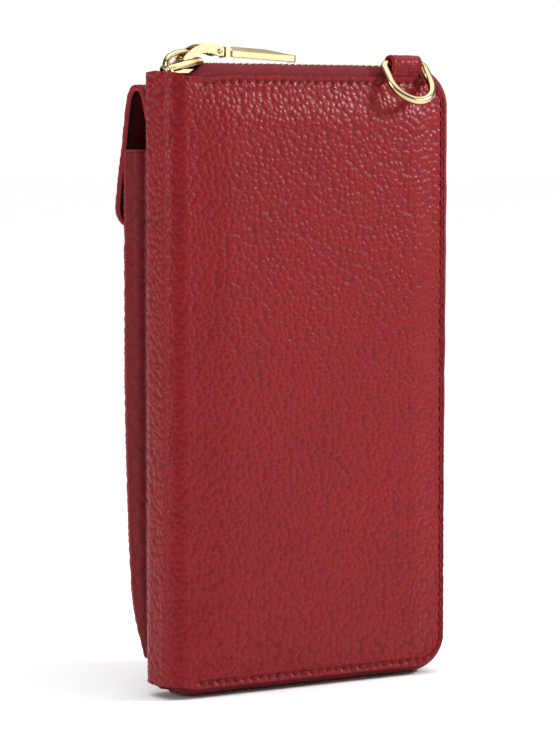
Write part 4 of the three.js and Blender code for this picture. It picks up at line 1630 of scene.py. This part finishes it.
@dataclass
class Studio:
    """Pale floor, soft lights and a fixed camera."""

    datum: Datum
    azimuth: float = math.radians(-34.0)
    distance: float = 1056.5
    height: float = 174.8
    lens: float = 159.85542
    pitch: float = 0.07035
    aside: float = -4.835
    sensor: float = 36.0
    stand: float = 0.7
    room_light: float = 0.15
    ceiling_light: float = 2.2

    def camera(self) -> None:
        """A long lens at table height, looking a little down on the folded back."""
        a = self.azimuth
        x = self.distance * math.sin(a) + self.aside * math.cos(a)
        y = -self.distance * math.cos(a) + self.aside * math.sin(a)
        data = bpy.data.cameras.new("camera")
        data.sensor_width = self.sensor
        data.lens = self.lens
        data.clip_start = 0.05
        data.clip_end = 100.0
        camera = bpy.data.objects.new("camera", data)
        camera.location = self.datum.point(x, y, self.height)
        camera.rotation_euler = (math.pi / 2 - self.pitch, 0.0, a)
        bpy.context.scene.collection.objects.link(camera)
        bpy.context.scene.camera = camera

    def light(
        self,
        name: str,
        place: tuple[float, float, float],
        size: float,
        power: float,
        aim: tuple[float, float, float],
    ) -> None:
        """A square soft light aimed at a point, in metres and watts."""
        data = bpy.data.lights.new(name, "AREA")
        data.size = size
        data.energy = power
        lamp = bpy.data.objects.new(name, data)
        lamp.location = place
        lamp.rotation_euler = (Vector(aim) - Vector(place)).to_track_quat("-Z", "Y").to_euler()
        bpy.context.scene.collection.objects.link(lamp)

    def floor(self) -> None:
        """A wide white floor, at the height of the chain's lowest teeth."""
        material, _, shader = new_material("matt_white_floor")
        shader.inputs["Base Color"].default_value = (0.9, 0.9, 0.9, 1.0)
        shader.inputs["Roughness"].default_value = 0.7
        mesh = bpy.data.meshes.new("floor")
        reach, z = 12.0, self.stand / 1000
        corners = [(-reach, -reach, z), (reach, -reach, z), (reach, reach, z), (-reach, reach, z)]
        mesh.from_pydata(corners, [], [(0, 1, 2, 3)])
        mesh.materials.append(material)
        floor = bpy.data.objects.new("floor", mesh)
        bpy.context.scene.collection.objects.link(floor)

    def build(self) -> None:
        """Sets up the studio."""
        self.camera()
        self.floor()
        world = bpy.data.worlds.new("white_room")
        world.use_nodes = True
        tree = world.node_tree
        seen = add_node(tree, "ShaderNodeLightPath").outputs["Is Camera Ray"]
        heading = add_node(tree, "ShaderNodeTexCoord").outputs["Generated"]
        height = add_node(tree, "ShaderNodeSeparateXYZ", {0: heading}).outputs["Z"]
        ceiling = add_node(
            tree,
            "ShaderNodeMapRange",
            {
                "Value": height,
                "From Min": 0.5,
                "From Max": 0.9,
                "To Min": self.room_light,
                "To Max": self.ceiling_light,
            },
            interpolation_type="SMOOTHSTEP",
        )
        level = add_node(tree, "ShaderNodeMix", {0: seen, 2: ceiling.outputs["Result"], 3: 1.0})
        tree.links.new(level.outputs[0], tree.nodes["Background"].inputs["Strength"])
        tree.nodes["Background"].inputs["Color"].default_value = (1.0, 1.0, 1.0, 1.0)
        scene = bpy.context.scene
        scene.world = world
        scene.view_settings.view_transform = "Standard"
        self.light("key_right", (0.44, -0.29, 0.38), 0.1, 2.7, (0.0, 0.0, 0.14))
        self.light("card_right", (0.62, -0.84, 0.40), 0.44, 1.5, (0.04, 0.0, 0.17))
        self.light("card_left", (-0.95, -0.02, 0.35), 0.35, 3.4, (0.0, 0.0, 0.1))


def main() -> None:
    """Builds the sub-assemblies in order and dresses them."""
    logging.basicConfig(level=logging.INFO, format="%(name)s: %(message)s")
    datum = Datum.from_frame()
    Studio(datum).build()
    shop = Workshop(datum, Finishes())
    covers = Covers(shop)
    covers.build()
    CoverStitching(shop, covers).build()
    Zip(shop).build()
    SliderAndPull(shop).build()
    RingAndTab(shop).build()
    PhonePocket(shop).build()
    Flap(shop).build()
    Inside(shop).build()


if __name__ == "__main__":
    main()
